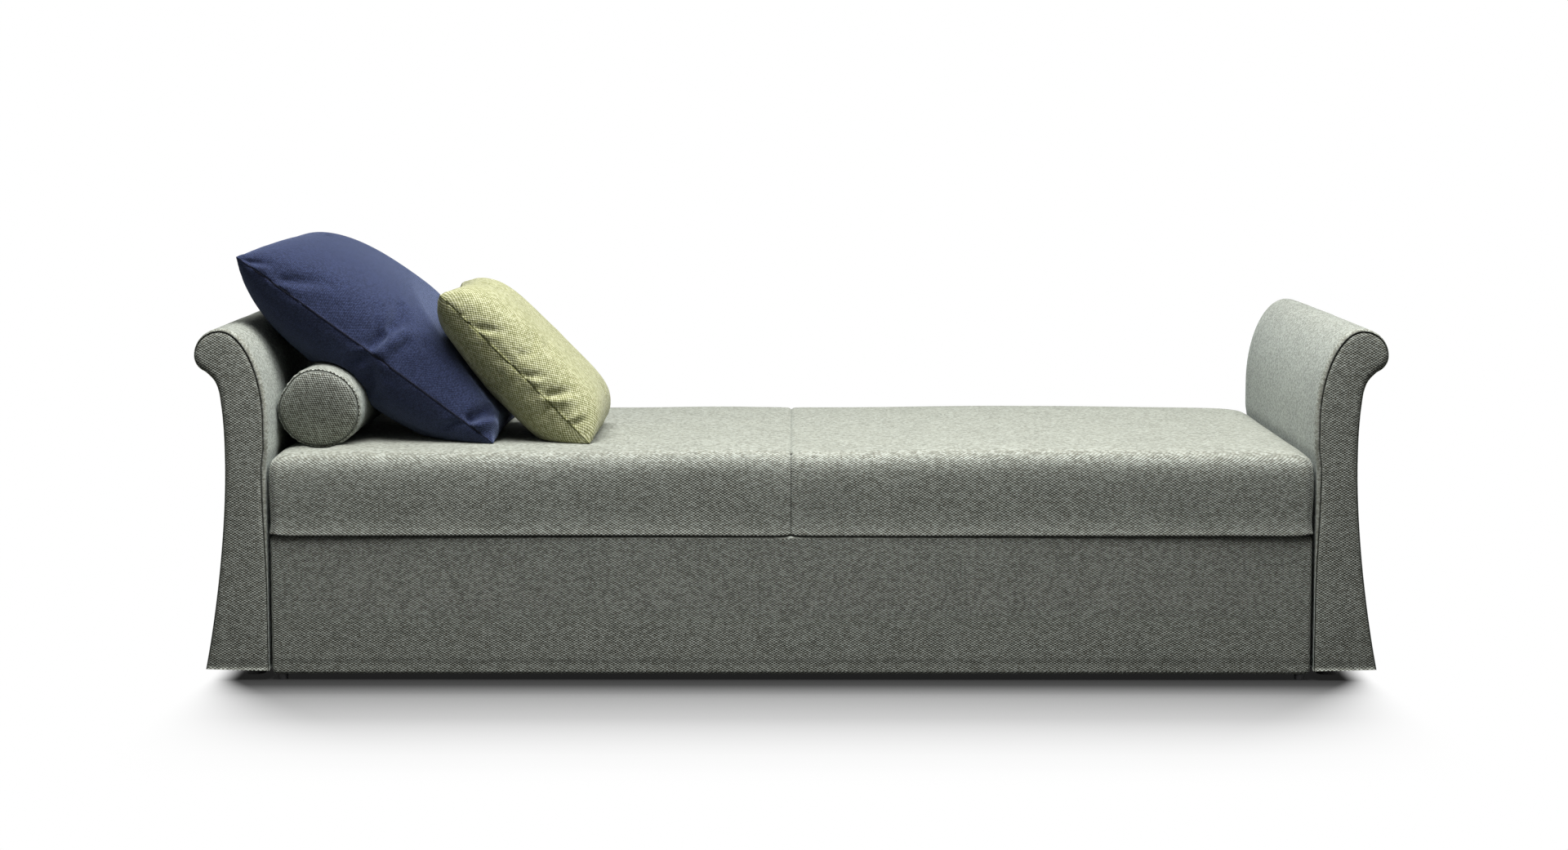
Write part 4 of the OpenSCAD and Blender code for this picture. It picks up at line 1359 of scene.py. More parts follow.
    def _hung(self, spot: Place, rim_z: float, nominal: float, row: Point) -> Point:
        """Hang a point of the border under the top's rim.

        Args:
            spot: Its place on the plan before anything is drawn in.
            rim_z: Height of the rim over it.
            nominal: The rim's height in the middle of the front.
            row: Drop, inset across and inset along of its row.

        Returns:
            The point.
        """
        drop, across, along = row
        share = drop / (nominal - self.low)
        rounded = round_corner(*spot, self.half_length, self.half_depth, self.corner_r)
        mx, _ = self._drawn(*rounded, along)
        _, my = self._drawn(*rounded, across)
        front = abs(spot[1]) > self.half_depth - 1
        grow = 1.3 * waver(mx, my, drop, 190, 2.0) * math.sin(math.pi * min(share, 1))
        if front:
            my += math.copysign(grow, my)
        else:
            mx += math.copysign(grow, mx)
        z = rim_z - drop * (rim_z - self.low) / (nominal - self.low)
        # The hem waves a little, is drawn up at the seam and rises at the ends
        z += 0.8 * (1 + waver(mx, my, 0, 240, 9.0)) * ease((share - 0.6) / 0.4)
        if self.centre_seam and front:
            z += 2.5 * math.exp(-abs(mx) / 9) * ease((share - 0.8) / 0.2)
            my -= math.copysign(self._seam_dip(mx), my)
        near_end = ease((abs(mx) - self.half_length + 45) / 45)
        corner = near_end if front else near_end * ease((abs(my) - self.half_depth + 45) / 45)
        z += 3.0 * corner * corner * ease((share - 0.75) / 0.25)
        tuck = 3.0 * ease((abs(mx) - self.half_length + 25) / 25) * ease((share - 0.35) / 0.65)
        return mx - math.copysign(tuck, mx), my + self.centre_y, z

    def _mark_seams(self, cloth: SewnMesh, loop: Sequence[int], rim: Sequence[Place]) -> None:
        """Paint shade on the seams where they cross one row of the border.

        Args:
            cloth: The mesh.
            loop: The row.
            rim: The place of each of its points on the plan.
        """
        for i, (x, y) in zip(loop, rim):
            at_end = abs(abs(x) - self.half_length + self.end_seam) < 1.0
            if self.centre_seam and abs(x) < 0.5:
                cloth.mark([i], self.seam_shade_tones[1])
            elif at_end and abs(y) > self.half_depth - 1:
                cloth.mark([i], self.seam_shade_tones[2])

    def _border(self, nominal: float) -> list[Point]:
        """Section of the border from the rolled top edge down to the turned-in hem.

        Args:
            nominal: Height of the top where its edge starts to roll.

        Returns:
            Drop below that height, inset across and inset along.
        """
        tall = nominal - self.low
        found = []
        for drop in (*self.roll_drops, *spread(34.0, tall - 6, 10)):
            kick = 2.6 * max(0.0, (drop - tall + 40) / 40) ** 2
            across = self.edge_reach * math.exp(-drop / self.edge_fall) - kick
            along = self.edge_reach * math.exp(-drop / self.end_fall) - kick
            found.append((drop, across, along))
        return [*found, *((tall + down, inset, inset) for down, inset in self.hem_rows)]

    def _stops(self, half: float, seam: bool) -> list[float]:
        """Place the grid lines, fine near the edges and the seam.

        Args:
            half: How far they reach to either side.
            seam: Whether a seam runs down the middle.

        Returns:
            The lines.
        """
        near = self.edge_lines
        middle = self.seam_lines if seam else self.seam_lines[:1]
        outer = spread(half - near[-1], middle[-1], self.step)[:-1]
        right = [*middle, *outer[::-1], *(half - n for n in near[-2::-1])]
        return [*(-v for v in right[:0:-1]), *right]

    def _seam_dip(self, x: float) -> float:
        """Depth of the seam's channel at a place along the mattress."""
        dip = 3.0 * math.exp(-((x / 3.0) ** 2)) + 1.2 * math.exp(-((x / 14.0) ** 2))
        return dip if self.centre_seam else 0.0

    def _drawn(self, x: float, y: float, inset: float) -> Place:
        """Move a place in by an inset, and draw the sides' middles in.

        Args:
            x: Place along the mattress.
            y: Place across it.
            inset: The inset.

        Returns:
            The moved place.
        """
        along = self.draw * (1 - (y / self.half_depth) ** 2)
        across = self.draw * (1 - (x / self.half_length) ** 2)
        return x * (1 - (inset + along) / self.half_length), y * (1 - (inset + across) / self.half_depth)


# The hidden frame and the pull-out bed


@dataclass(frozen=True)
class Underframe:
    """What the covers hide: boards, steel rails, sprung slats and the bed on rollers."""

    ply_upright: tuple[str, ...] = (
        "left_arm_front_board", "left_arm_rear_board", "left_arm_inner_panel",
        "right_arm_front_board", "right_arm_rear_board", "right_arm_inner_panel",
    )
    ply_long: tuple[str, ...] = ("front_board", "rear_board")
    bent: tuple[str, ...] = ("left_arm_outer_panel", "right_arm_outer_panel")
    crosswise: tuple[str, ...] = (
        "left_arm_top_rail", "right_arm_top_rail", "left_arm_foot_rails", "right_arm_foot_rails",
        "lower_left_timber", "lower_right_timber", "lower_middle_timber",
    )
    lengthwise: tuple[str, ...] = ("lower_front_timber", "lower_rear_timber")
    slats: tuple[str, ...] = ("seat_slats", "lower_slats_set")
    moulded: tuple[str, ...] = ("arm_glides", "slat_seats", "front_feet")
    painted: tuple[str, ...] = ("front_rail", "rear_rail")
    plated: tuple[str, ...] = ("rail_bolts", "rail_tee_nuts", "roller_brackets", "roller_axles")
    rollers: tuple[str, ...] = (
        "front_left_roller", "front_right_roller", "rear_left_roller", "rear_right_roller",
    )

    def dress(self, nodes: dict[str, bpy.types.Object], palette: Palette) -> None:
        """Give every carried-over node its real material.

        Args:
            nodes: The CAD nodes by name.
            palette: Where the finishes come from.
        """
        groups = (
            (self.ply_upright, BIRCH_PLYWOOD), (self.ply_long, BIRCH_PLYWOOD_LONG),
            (self.bent, HARDBOARD), (self.crosswise, SPRUCE_Y), (self.lengthwise, SPRUCE_X),
            (self.slats, BENT_BEECH), (self.moulded, POLYPROPYLENE), (self.painted, POWDER_COAT),
            (self.plated, ZINC), (self.rollers, POLYAMIDE),
        )
        for names, finish in groups:
            for name in names:
                mesh = nodes[name].data
                mesh.materials.clear()
                mesh.materials.append(palette.of(finish))
                LOG.info("%s: %s", name, finish.name)


# Bolster and cushions


@dataclass
class Bolster:
    """A round bolster: a tube of cloth gathered into a domed disc at each end."""

    radius: float = 80.0
    length: float = 718.0
    x: float = -897.7
    z: float = 504.6
    front: float = -359.0
    disc_r: float = 75.0
    bulge: float = 12.0
    lean: float = 20.0
    squash: float = 0.975
    cut_turn: float = math.radians(37)
    spokes: int = 168
    # Where the tube is pressed in or bulges: degrees round, width in degrees, share of the radius
    presses: tuple[tuple[float, float, float], ...] = ((146.0, 24.0, -0.07), (330.0, 30.0, 0.02))
    # Rows of a disc, as shares of its radius
    disc_rows: tuple[float, ...] = (0.12, 0.24, 0.36, 0.48, 0.6, 0.7, 0.79, 0.86, 0.92, 0.96)
    # Rows across its seam: past its radius, past its bulge, gathers, and how dark its painted shade is
    seam_rows: tuple[tuple[float, float, float, float], ...] = (
        (-0.8, 1.0, 0.15, 0.2),
        (0.1, 2.0, 0.2, 1.0),
        (0.9, 1.0, 0.3, 0.2),
    )
    # Degrees round the edge between seam and tube, and how deep that edge is
    edge_turns: tuple[float, ...] = (25.0, 45.0, 65.0, 90.0)
    edge_depth: float = 13.0
    gathers: float = 0.7
    gather_fade: float = 26.0

    def build(self, palette: Palette) -> bpy.types.Object:
        """Build the bolster's cover.

        Args:
            palette: Where the finishes come from.

        Returns:
            The cover.
        """
        cloth = SewnMesh()
        first = cloth.add_points([(self.x, self.front, self.z)])[0]
        rows, places = [], []
        for r, depth, pleat, seam in self._profile()[1:-1]:
            turns = [2 * math.pi * j / self.spokes for j in range(self.spokes + 1)]
            rows.append(cloth.add_points(self._point(a, r, depth, pleat, seam) for a in turns[:-1]))
            places.append([self._spot(a, r, depth) for a in turns])
            if seam:
                cloth.mark(rows[-1], seam)
                cloth.pull(rows[-1], seam)
        last = cloth.add_points([(self.x, self.front + self.length, self.z)])[0]
        cloth.add_rows(rows, places, closed=True)
        for j in range(self.spokes):
            k = (j + 1) % self.spokes
            cloth.add_face([first, rows[0][k], rows[0][j]], [(0, 0), places[0][j + 1], places[0][j]])
            cloth.add_face([last, rows[-1][j], rows[-1][k]], [(0, 0), places[-1][j], places[-1][j + 1]])
        piece = cloth.build("bolster_upholstery", [palette.of(HOPSACK)])
        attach(piece, "bolster")
        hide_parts("bolster_cover", "bolster_filling")
        return piece

    def _point(self, a: float, r: float, depth: float, pleat: float, seam: float) -> Point:
        """Put a point on the cloth.

        Args:
            a: Its angle round the axis.
            r: Its radius.
            depth: How far behind the front disc's middle it lies.
            pleat: Height of the gathers there.
            seam: How dark the painted shade of the seam is there.

        Returns:
            The point.
        """
        fold = pleat * self._gather(a, depth > self.length / 2)
        lump = 1.4 * waver(60 * math.cos(a), depth, 60 * math.sin(a), 95, 4.0)
        lump *= ease((r - 20) / 40) * ease(min(depth, self.length - depth) / 60 + 0.25)
        share = 1.0
        for at, wide, amount in self.presses:
            share += amount * math.exp(-(((a - math.radians(at)) / math.radians(wide)) ** 2))
        wide = r * share + fold + lump
        ux, uz = math.cos(a) * wide, math.sin(a) * wide * self.squash
        nod = -self.lean * uz / self.radius * max(0.0, 1 - depth / 90)
        push = 0.8 * waver(ux, 0, uz, 38, 8.0 + depth) if seam else 0.0
        shift = push if depth < 20 else -push if depth > self.length - 20 else 0.0
        return self.x + ux, self.front + depth + nod + shift, self.z + uz

    def _spot(self, a: float, r: float, depth: float) -> Place:
        """Give a point's place on the cloth, on a disc or on the tube.

        Args:
            a: Its angle round the axis.
            r: Its radius.
            depth: How far behind the front disc's middle it lies.

        Returns:
            The place.
        """
        end = min(depth, self.length - depth) < self.bulge + 1
        if end and r <= self.disc_r:
            return r * math.cos(a + self.cut_turn), r * math.sin(a + self.cut_turn)
        return a * self.radius, depth

    def _profile(self) -> list[tuple[float, float, float, float]]:
        """Run the section from one disc's middle to the other's.

        Returns:
            Radius, depth, height of the gathers, and how dark the painted shade of the seam is.
        """
        r, b = self.disc_r, self.bulge
        steep, spare = 0.93, 0.07
        half = [(0.0, 0.0, 0.0, 0.0)]
        for s in self.disc_rows:
            half.append((r * s, b * (1 - math.sqrt(1 - steep * s * s)) / (1 - math.sqrt(spare)), 0.0, 0.0))
        half += [(r + out, b + deep, fold, seam) for out, deep, fold, seam in self.seam_rows]
        out, deep = self.seam_rows[-1][:2]
        for a in map(math.radians, self.edge_turns):
            wide = r + out + (self.radius - r - out) * math.sin(a)
            half.append((wide, b + deep + self.edge_depth * (1 - math.cos(a)), self.gathers, 0.0))
        start = half[-1][1]
        for y in spread(start, self.length / 2, 14)[1:]:
            half.append((self.radius, y, self.gathers * math.exp(-(y - start) / self.gather_fade), 0.0))
        return half + [(wide, self.length - y, fold, seam) for wide, y, fold, seam in half[-2::-1]]

    def _gather(self, angle: float, rear: bool) -> float:
        """Give the height of the gathers round a seam.

        Args:
            angle: The angle round the axis.
            rear: Whether it is the rear seam.

        Returns:
            The height, from about -1 to 1.
        """
        turn = angle + (0.7 if rear else 0.0)
        strength = 0.45 + 0.55 * math.sin(2 * turn + 0.4) ** 2
        ripple = math.sin(23 * turn + 2.1 * math.sin(3 * turn)) * strength
        return ripple + 0.5 * math.sin(41 * turn + 1.0)


@dataclass(frozen=True)
class Fold:
    """A fold pressed into one face of a cushion: a valley with a ridge beside it.

    Its ends are given in millimetres along the cushion and over the cloth from the near seam. A ridge below
    zero lies on the foot's side of the valley.
    """

    upper: bool
    start: Place
    end: Place
    depth: float
    width: float
    ridge: float = 0.5

    def height(self, along: np.ndarray, over: np.ndarray) -> np.ndarray:
        """Say how far the fold lifts the cloth.

        Args:
            along: Places along the cushion.
            over: Their distance over the cloth from the near seam.

        Returns:
            The lift at each place.
        """
        a, b = np.array(self.start), np.array(self.end)
        long = float(np.hypot(*(b - a)))
        run = (b - a) / long
        s = (along - a[0]) * run[0] + (over - a[1]) * run[1]
        d = (over - a[1]) * run[0] - (along - a[0]) * run[1]
        taper = np.clip(1 + s / (0.12 * long), 0, 1) * np.clip((long - s) / (0.7 * long), 0, 1)
        taper = taper * taper * (3 - 2 * taper)
        wide = self.width * (0.6 + 0.4 * np.clip(s / long, 0, 1))
        valley = -np.exp(-((d / wide) ** 2))
        beside = d - math.copysign(1.6, self.ridge) * wide
        return self.depth * taper * (valley + abs(self.ridge) * np.exp(-((beside / wide) ** 2)))


# The cushions' cotton cover in the cloth simulation: it stretches little and bends easily, blown up firm
CLOTH_SETTINGS: dict[str, float | bool | str] = {
    "quality": 6,
    "mass": 0.25,
    "tension_stiffness": 22,
    "compression_stiffness": 6,
    "shear_stiffness": 6,
    "tension_damping": 12,
    "compression_damping": 12,
    "shear_damping": 12,
    "air_damping": 4,
    "use_pressure": True,
    "uniform_pressure_force": 3.5,
    "vertex_group_mass": "held",
    "pin_stiffness": 1.0,
}
CLOTH_STEPS = 28


@dataclass
class Cushion:
    """A knife-edged scatter cushion: two squares of cloth sewn at the rim, stuffed full and leaning.

    Places on it run along from its upper end to its foot, across, and up from the plane of its seam.
    """

    name: str
    body: str
    node: str
    slot_name: str
    finish: WovenCloth
    half: float
    upper: float
    lower: float
    centre: Place
    centre_y: float
    tilt: float
    floor: Callable[[np.ndarray], np.ndarray]
    roof: Callable[[np.ndarray], np.ndarray]
    folds: tuple[Fold, ...] = ()
    draw_in: float = 18.0
    draw_foot: float = 5.0
    full: float = 3.0
    full_foot: float = 3.0
    plump: float = 0.5
    lean_out: float = 0.0
    pucker: float = 3.0
    pucker_mm: float = 30.0
    cells: int = 110
    cloth_cells: int = 44
    cut_share: float = 1.05
    stiffness: float = 1.0
    seam_half: float = 0.4
    # How dark the painted shade along the seam is
    seam_shade_tone: float = 0.8
    seam_lines: tuple[float, float] = (0.0022, 0.0004)
    cap: float = 14.0
    # How much the cloth is held to its form in the simulation, over its face and at its corners
    hold: tuple[float, float] = (0.06, 0.9)

    def _stops(self) -> np.ndarray:
        """Place the grid lines from -1 to 1, closer together towards the seam.

        Returns:
            The lines.
        """
        s = np.linspace(-1, 1, self.cells - 3)
        lines = 0.25 * s + 0.75 * np.sin(0.5 * np.pi * s)
        near = 1 - np.array(self.seam_lines)
        return np.concatenate([[-1.0], -near[::-1], lines[1:-1], near, [1.0]])

    def _form(self, a: np.ndarray, b: np.ndarray) -> tuple[np.ndarray, np.ndarray, np.ndarray]:
        """Give the plain stuffed form.

        Args:
            a: Grid shares along.
            b: Grid shares across.

        Returns:
            Place along, place across and share of the full height.
        """
        along = self.half * a - np.where(a > 0, self.draw_foot, self.draw_in) * a * (1 - b**2)
        across = self.half * b - self.draw_in * b * (1 - a**2)
        ends = np.clip(1 - np.abs(a) ** np.where(a > 0, self.full_foot, self.full), 0, 1)
        rise = (ends * np.clip(1 - np.abs(b) ** self.full, 0, 1)) ** self.plump
        return along, across, rise

    def build(self, palette: Palette) -> bpy.types.Object:
        """Build the cushion's cover.

        Args:
            palette: Where the finishes come from.

        Returns:
            The cover.
        """
        stops = self._stops()
        a, b = np.meshgrid(stops, stops, indexing="ij")
        cloth = SewnMesh()
        sides, spots = [], []
        for high, moves in zip((True, False), self._creases(a, b)):
            side, laid = self._side(a, b, moves, high)
            sides.append([cloth.add_points(row) for row in side])
            spots.append(laid.tolist())
        cloth.add_rows(sides[0], spots[0], flip=True)
        cloth.add_rows(sides[1], spots[1])
        rims = [rim_of(list(zip(*rows))) for rows in sides]
        place = rim_of([[(self.half * s, self.half * t) for s in stops] for t in stops])
        cloth.add_rows(rims, [[*place, place[0]]] * 2, closed=True)
        seam = [*rims[0], *rims[1]]
        cloth.mark(seam, self.seam_shade_tone)
        cloth.dress_seam(seam, 1)
        piece = cloth.build(self.name, [palette.of(self.finish), palette.of(self.finish.seam())])
        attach(piece, self.body)
        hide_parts(f"{self.node}_cover", f"{self.node}_filling")
        return piece

    def _side(
        self, a: np.ndarray, b: np.ndarray, moves: np.ndarray, high: bool
    ) -> tuple[np.ndarray, np.ndarray]:
        """Form one face with its creases, puckers and folds.

        Args:
            a: Grid shares along.
            b: Grid shares across.
            moves: How far the simulated cloth moves from the plain form.
            high: Whether it is the upper face.

        Returns:
            The points in the divan, and their places on the cloth from its middle.
        """
        out = 1 if high else -1
        along, across, rise = self._form(a, b)
        n = (self.upper if high else -self.lower * self._slack(a)) * rise
        form = np.stack([along, across, n], -1) + moves * np.minimum(rise * 4, 1)[..., None]
        runs = [self._run(form, axis) for axis in (0, 1)]
        edge = np.min([runs[0], runs[0][-1:] - runs[0], runs[1], runs[1][:, -1:] - runs[1]], axis=0)
        more = self._puckers(form) * np.exp(-edge / 24)
        for fold in self.folds:
            if fold.upper == high:
                more = more + fold.height(form[..., 0], runs[1])
        form += self._normals(form, out) * (more * np.clip(edge / 7, 0, 1))[..., None]
        form[..., 2] = self._held(form[..., 0], form[..., 2] + out * self.seam_half, high)
        m = self.cells // 2
        laid = np.stack([runs[0] - runs[0][m : m + 1], runs[1] - runs[1][:, m : m + 1]], -1)
        return self._world(form), laid

    def _held(self, t: np.ndarray, n: np.ndarray, high: bool) -> np.ndarray:
        """Keep the cloth over what it rests on and under what presses on it, softly bent there.

        Args:
            t: Places along the cushion.
            n: Their heights.
            high: Whether they are on the upper face.

        Returns:
            The heights that are free.
        """
        soft = 2.5
        if high:
            over = self.roof(t) - n
            return self.roof(t) - 0.5 * (over + np.sqrt(over**2 + soft**2))
        over = n - self.floor(t)
        return self.floor(t) + 0.5 * (over + np.sqrt(over**2 + soft**2))

    def _slack(self, a: np.ndarray) -> np.ndarray:
        """Share of the lower face's fullness: less towards the upper end."""
        return 1 - self.lean_out * np.exp(-(((a + 0.65) / 0.4) ** 2))

    def _run(self, form: np.ndarray, axis: int) -> np.ndarray:
        """Distance over the cloth from the first row or column."""
        steps = np.linalg.norm(np.diff(form, axis=axis), axis=-1)
        return np.concatenate([np.zeros_like(steps.take([0], axis)), np.cumsum(steps, axis)], axis)

    def _normals(self, form: np.ndarray, out: int) -> np.ndarray:
        """Outward directions of a face."""
        cross = np.cross(np.gradient(form, axis=0), np.gradient(form, axis=1)) * out
        return cross / np.maximum(np.linalg.norm(cross, axis=-1, keepdims=True), 1e-9)

    def _puckers(self, form: np.ndarray) -> np.ndarray:
        """Give the height of the puckers that a drawn-up seam makes beside it.

        Args:
            form: The face's points.

        Returns:
            A height for each.
        """
        wide, fine = self.pucker_mm, self.pucker_mm / 2
        flat = [
            waver(*place, wide, self.half) + 0.6 * waver(*place, fine, self.half)
            for place in form.reshape(-1, 3)
        ]
        return self.pucker * np.array(flat).reshape(form.shape[:2])

    def _world(self, form: np.ndarray) -> np.ndarray:
        """Turn places on the cushion into places in the divan.

        Args:
            form: The places.

        Returns:
            The places in the divan.
        """
        t, y, n = (form[..., axis] for axis in range(3))
        turn = math.radians(self.tilt)
        x = self.centre[0] + t * math.cos(turn) + n * math.sin(turn)
        z = self.centre[1] - t * math.sin(turn) + n * math.cos(turn)
        return np.stack([x, y + self.centre_y, z], -1)

    def _creases(self, a: np.ndarray, b: np.ndarray) -> list[np.ndarray]:
        """Simulate the stuffed cloth and give how far it moves from the plain form.

        Args:
            a: Grid shares along.
            b: Grid shares across.

        Returns:
            For the upper and the lower face, the move along, across and up at each place.
        """
        size = self.cloth_cells + 1
        s = np.linspace(-1, 1, size)
        stops = 0.6 * s + 0.4 * np.sin(0.5 * np.pi * s)
        ga, gb = np.meshgrid(stops, stops, indexing="ij")
        along, across, rise = self._form(ga, gb)
        ids = np.arange(size**2).reshape(size, size)
        low_ids = ids.copy()
        inner = np.zeros_like(ids, bool)
        inner[1:-1, 1:-1] = True
        low_ids[inner] = ids.size + np.arange(inner.sum())
        shown = np.zeros((ids.size + inner.sum(), 3))
        cut = shown.copy()
        reach = self.half * self.cut_share
        for numbers, side in ((low_ids, -self.lower), (ids, self.upper)):
            shown[numbers.ravel()] = np.stack([along, across, side * rise], -1).reshape(-1, 3)
            flat = np.sign(side) * 3.0 * np.clip(1 - np.maximum(np.abs(ga), np.abs(gb)), 0, 1)
            cut[numbers.ravel()] = np.stack([reach * ga, reach * gb, flat], -1).reshape(-1, 3)
        moved = self._stuffed(shown, cut, ids, low_ids) - shown
        LOG.info("%s: cloth moved up to %.1f mm", self.name, float(np.abs(moved).max()))
        result = []
        for numbers in (ids, low_ids):
            grid = moved[numbers.ravel()].reshape(size, size, 3)
            grid = grid - _smoothed(grid, 5)
            grid = self.cap * np.tanh(grid / self.cap)
            result.append(_resampled(grid, stops, a[:, 0], b[0, :]))
        return result

    def _stuffed(
        self, shown: np.ndarray, cut: np.ndarray, ids: np.ndarray, low_ids: np.ndarray
    ) -> np.ndarray:
        """Blow two sewn squares of cloth up and read where they come to rest.

        Args:
            shown: The points where the simulation starts.
            cut: The same points on the flat squares as they are cut.
            ids: The numbers of the upper square's points by row and column.
            low_ids: The numbers of the lower square's points.

        Returns:
            The points at rest.
        """
        faces = []
        for numbers, order in ((ids, (0, 1, 2, 3)), (low_ids, (3, 2, 1, 0))):
            for i in range(self.cloth_cells):
                for j in range(self.cloth_cells):
                    quad = (numbers[i, j], numbers[i + 1, j], numbers[i + 1, j + 1], numbers[i, j + 1])
                    faces.append([int(quad[k]) for k in order])
        mesh = bpy.data.meshes.new("stuffing_trial")
        mesh.from_pydata((shown * MM).tolist(), [], faces)
        trial = bpy.data.objects.new("stuffing_trial", mesh)
        scene = bpy.context.scene
        scene.collection.objects.link(trial)
        trial.shape_key_add(name="Basis")
        key = trial.shape_key_add(name="cut")
        key.data.foreach_set("co", (cut * MM).ravel())
        group = trial.vertex_groups.new(name=CLOTH_SETTINGS["vertex_group_mass"])
        group.add(list(range(len(shown))), self.hold[0], "REPLACE")
        group.add([int(ids[i, j]) for i in (0, -1) for j in (0, -1)], self.hold[1], "REPLACE")
        cloth = trial.modifiers.new("cloth", "CLOTH")
        for name, value in CLOTH_SETTINGS.items():
            setattr(cloth.settings, name, value)
        cloth.settings.bending_stiffness = self.stiffness
        cloth.settings.rest_shape_key = key
        cloth.settings.effector_weights.gravity = 0.0
        cloth.collision_settings.use_self_collision = False
        cloth.point_cache.frame_start = 1
        cloth.point_cache.frame_end = CLOTH_STEPS + 12
        for step in range(1, CLOTH_STEPS + 1):
            scene.frame_set(step)
        found = trial.evaluated_get(bpy.context.evaluated_depsgraph_get())
        place = np.zeros(len(shown) * 3)
        found.data.vertices.foreach_get("co", place)
        scene.frame_set(1)
        bpy.data.objects.remove(trial)
        bpy.data.meshes.remove(mesh)
        return place.reshape(-1, 3) / MM


def _smoothed(grid: np.ndarray, passes: int) -> np.ndarray:
    """Average a grid of moves with its neighbours, over and over.

    Args:
        grid: Moves by row, column and axis.
        passes: How often.

    Returns:
        The broad part of the moves.
    """
    for _ in range(passes * passes):
        wide = np.pad(grid, ((1, 1), (1, 1), (0, 0)), mode="edge")
        grid = (wide[:-2, 1:-1] + wide[2:, 1:-1] + wide[1:-1, :-2] + wide[1:-1, 2:] + 4 * grid) / 8
    return grid


def _resampled(grid: np.ndarray, stops: np.ndarray, rows: np.ndarray, columns: np.ndarray) -> np.ndarray:
    """Read a grid at other places with a smooth curve through its values.

    Args:
        grid: Values by row, column and axis.
        stops: Places of its rows and columns.
        rows: Places wanted along the first side.
        columns: Places wanted along the second.

    Returns:
        The values there.
    """

    def weights(wanted: np.ndarray) -> np.ndarray:
        """Weigh the known lines for other places.

        Args:
            wanted: The places.

        Returns:
            The share of each known line in each wanted one.
        """
        share = np.interp(wanted, stops, np.arange(len(stops)))
        matrix = np.zeros((len(wanted), len(stops)))
        base = np.clip(share.astype(int), 0, len(stops) - 2)
        f = share - base
        parts = (
            (-1, 0.5 * (-f + 2 * f**2 - f**3)),
            (0, 0.5 * (2 - 5 * f**2 + 3 * f**3)),
            (1, 0.5 * (f + 4 * f**2 - 3 * f**3)),
            (2, 0.5 * (-(f**2) + f**3)),
        )
        for offset, part in parts:
            np.add.at(matrix, (np.arange(len(wanted)), np.clip(base + offset, 0, len(stops) - 1)), part)
        return matrix

    return np.einsum("ai,ijk,bj->abk", weights(rows), grid, weights(columns))


@dataclass(frozen=True)
class Lie:
    """How a cushion lies: the middle of its seam's plane across and up, and how far it leans, in degrees."""

    centre: Place
    tilt: float

    def over(self, x: float | np.ndarray, z: float | np.ndarray) -> float | np.ndarray:
        """Height of a place in the divan over the seam's plane."""
        turn = math.radians(self.tilt)
        return (x - self.centre[0]) * math.sin(turn) + (z - self.centre[1]) * math.cos(turn)

    def along(self, x: float | np.ndarray, z: float | np.ndarray) -> float | np.ndarray:
        """Place along the cushion of a place in the divan."""
        turn = math.radians(self.tilt)
        return (x - self.centre[0]) * math.cos(turn) - (z - self.centre[1]) * math.sin(turn)


@dataclass(frozen=True)
class Nest:
    """What the two cushions lean on: the seat, the left arm, the bolster and each other."""

    seat: float = 434.3
    arm_x: float = -978.0
    arm_over: float = 0.3
    bolster_reach: float = 80.6
    meet_tilt: float = 52.5
    meet_share: float = 0.26
    large_foot: float = 410.0
    small_foot: float = 594.0
    far: float = 500.0

    def seat_floor(self, t: np.ndarray, lie: Lie) -> np.ndarray:
        """Lowest heights over a cushion's seam that stay on the seat."""
        turn = math.radians(lie.tilt)
        return (self.seat - lie.centre[1] + t * math.sin(turn)) / math.cos(turn)

    def meeting(self, t: np.ndarray, lie: Lie) -> np.ndarray:
        """Give the height over the seam where the plane between the cushions is met.

        Args:
            t: Places along the cushion.
            lie: How it lies.

        Returns:
            A height for each place.
        """
        turn, lean = math.radians(lie.tilt), math.radians(self.meet_tilt)
        at_x = self.arm_x + self.large_foot + self.meet_share * (self.small_foot - self.large_foot)
        base_x = lie.centre[0] + t * math.cos(turn)
        base_z = lie.centre[1] - t * math.sin(turn)
        across = (at_x - base_x) * math.sin(lean) + (self.seat - base_z) * math.cos(lean)
        return across / (math.sin(turn) * math.sin(lean) + math.cos(turn) * math.cos(lean))

    def large_floor(self, t: np.ndarray, lie: Lie, arm: Arm, bolster: Bolster) -> np.ndarray:
        """Give the lowest height over the large cushion's seam that clears arm, bolster and seat.

        Args:
            t: Places along the cushion.
            lie: How it lies.
            arm: The arm that it leans on.
            bolster: The bolster under it.

        Returns:
            A height for each place.
        """
        path = [(-(arm.inner_x + u), z) for u, z in arm.path()]
        reach = self.arm_over + max(lie.over(x, z) for x, z in path)
        end = max(lie.along(x, z) for x, z in path if lie.over(x, z) > reach - 60)
        arm_floor = np.where(t < end, reach, reach - 3.0 * (t - end))
        d = t - lie.along(bolster.x, bolster.z)
        inside = np.clip(self.bolster_reach**2 - d**2, 0, None)
        high = lie.over(bolster.x, bolster.z) + np.sqrt(inside)
        round_floor = np.where(np.abs(d) < self.bolster_reach, high, -self.far)
        return np.maximum(np.maximum(arm_floor, round_floor), self.seat_floor(t, lie))


# The studio


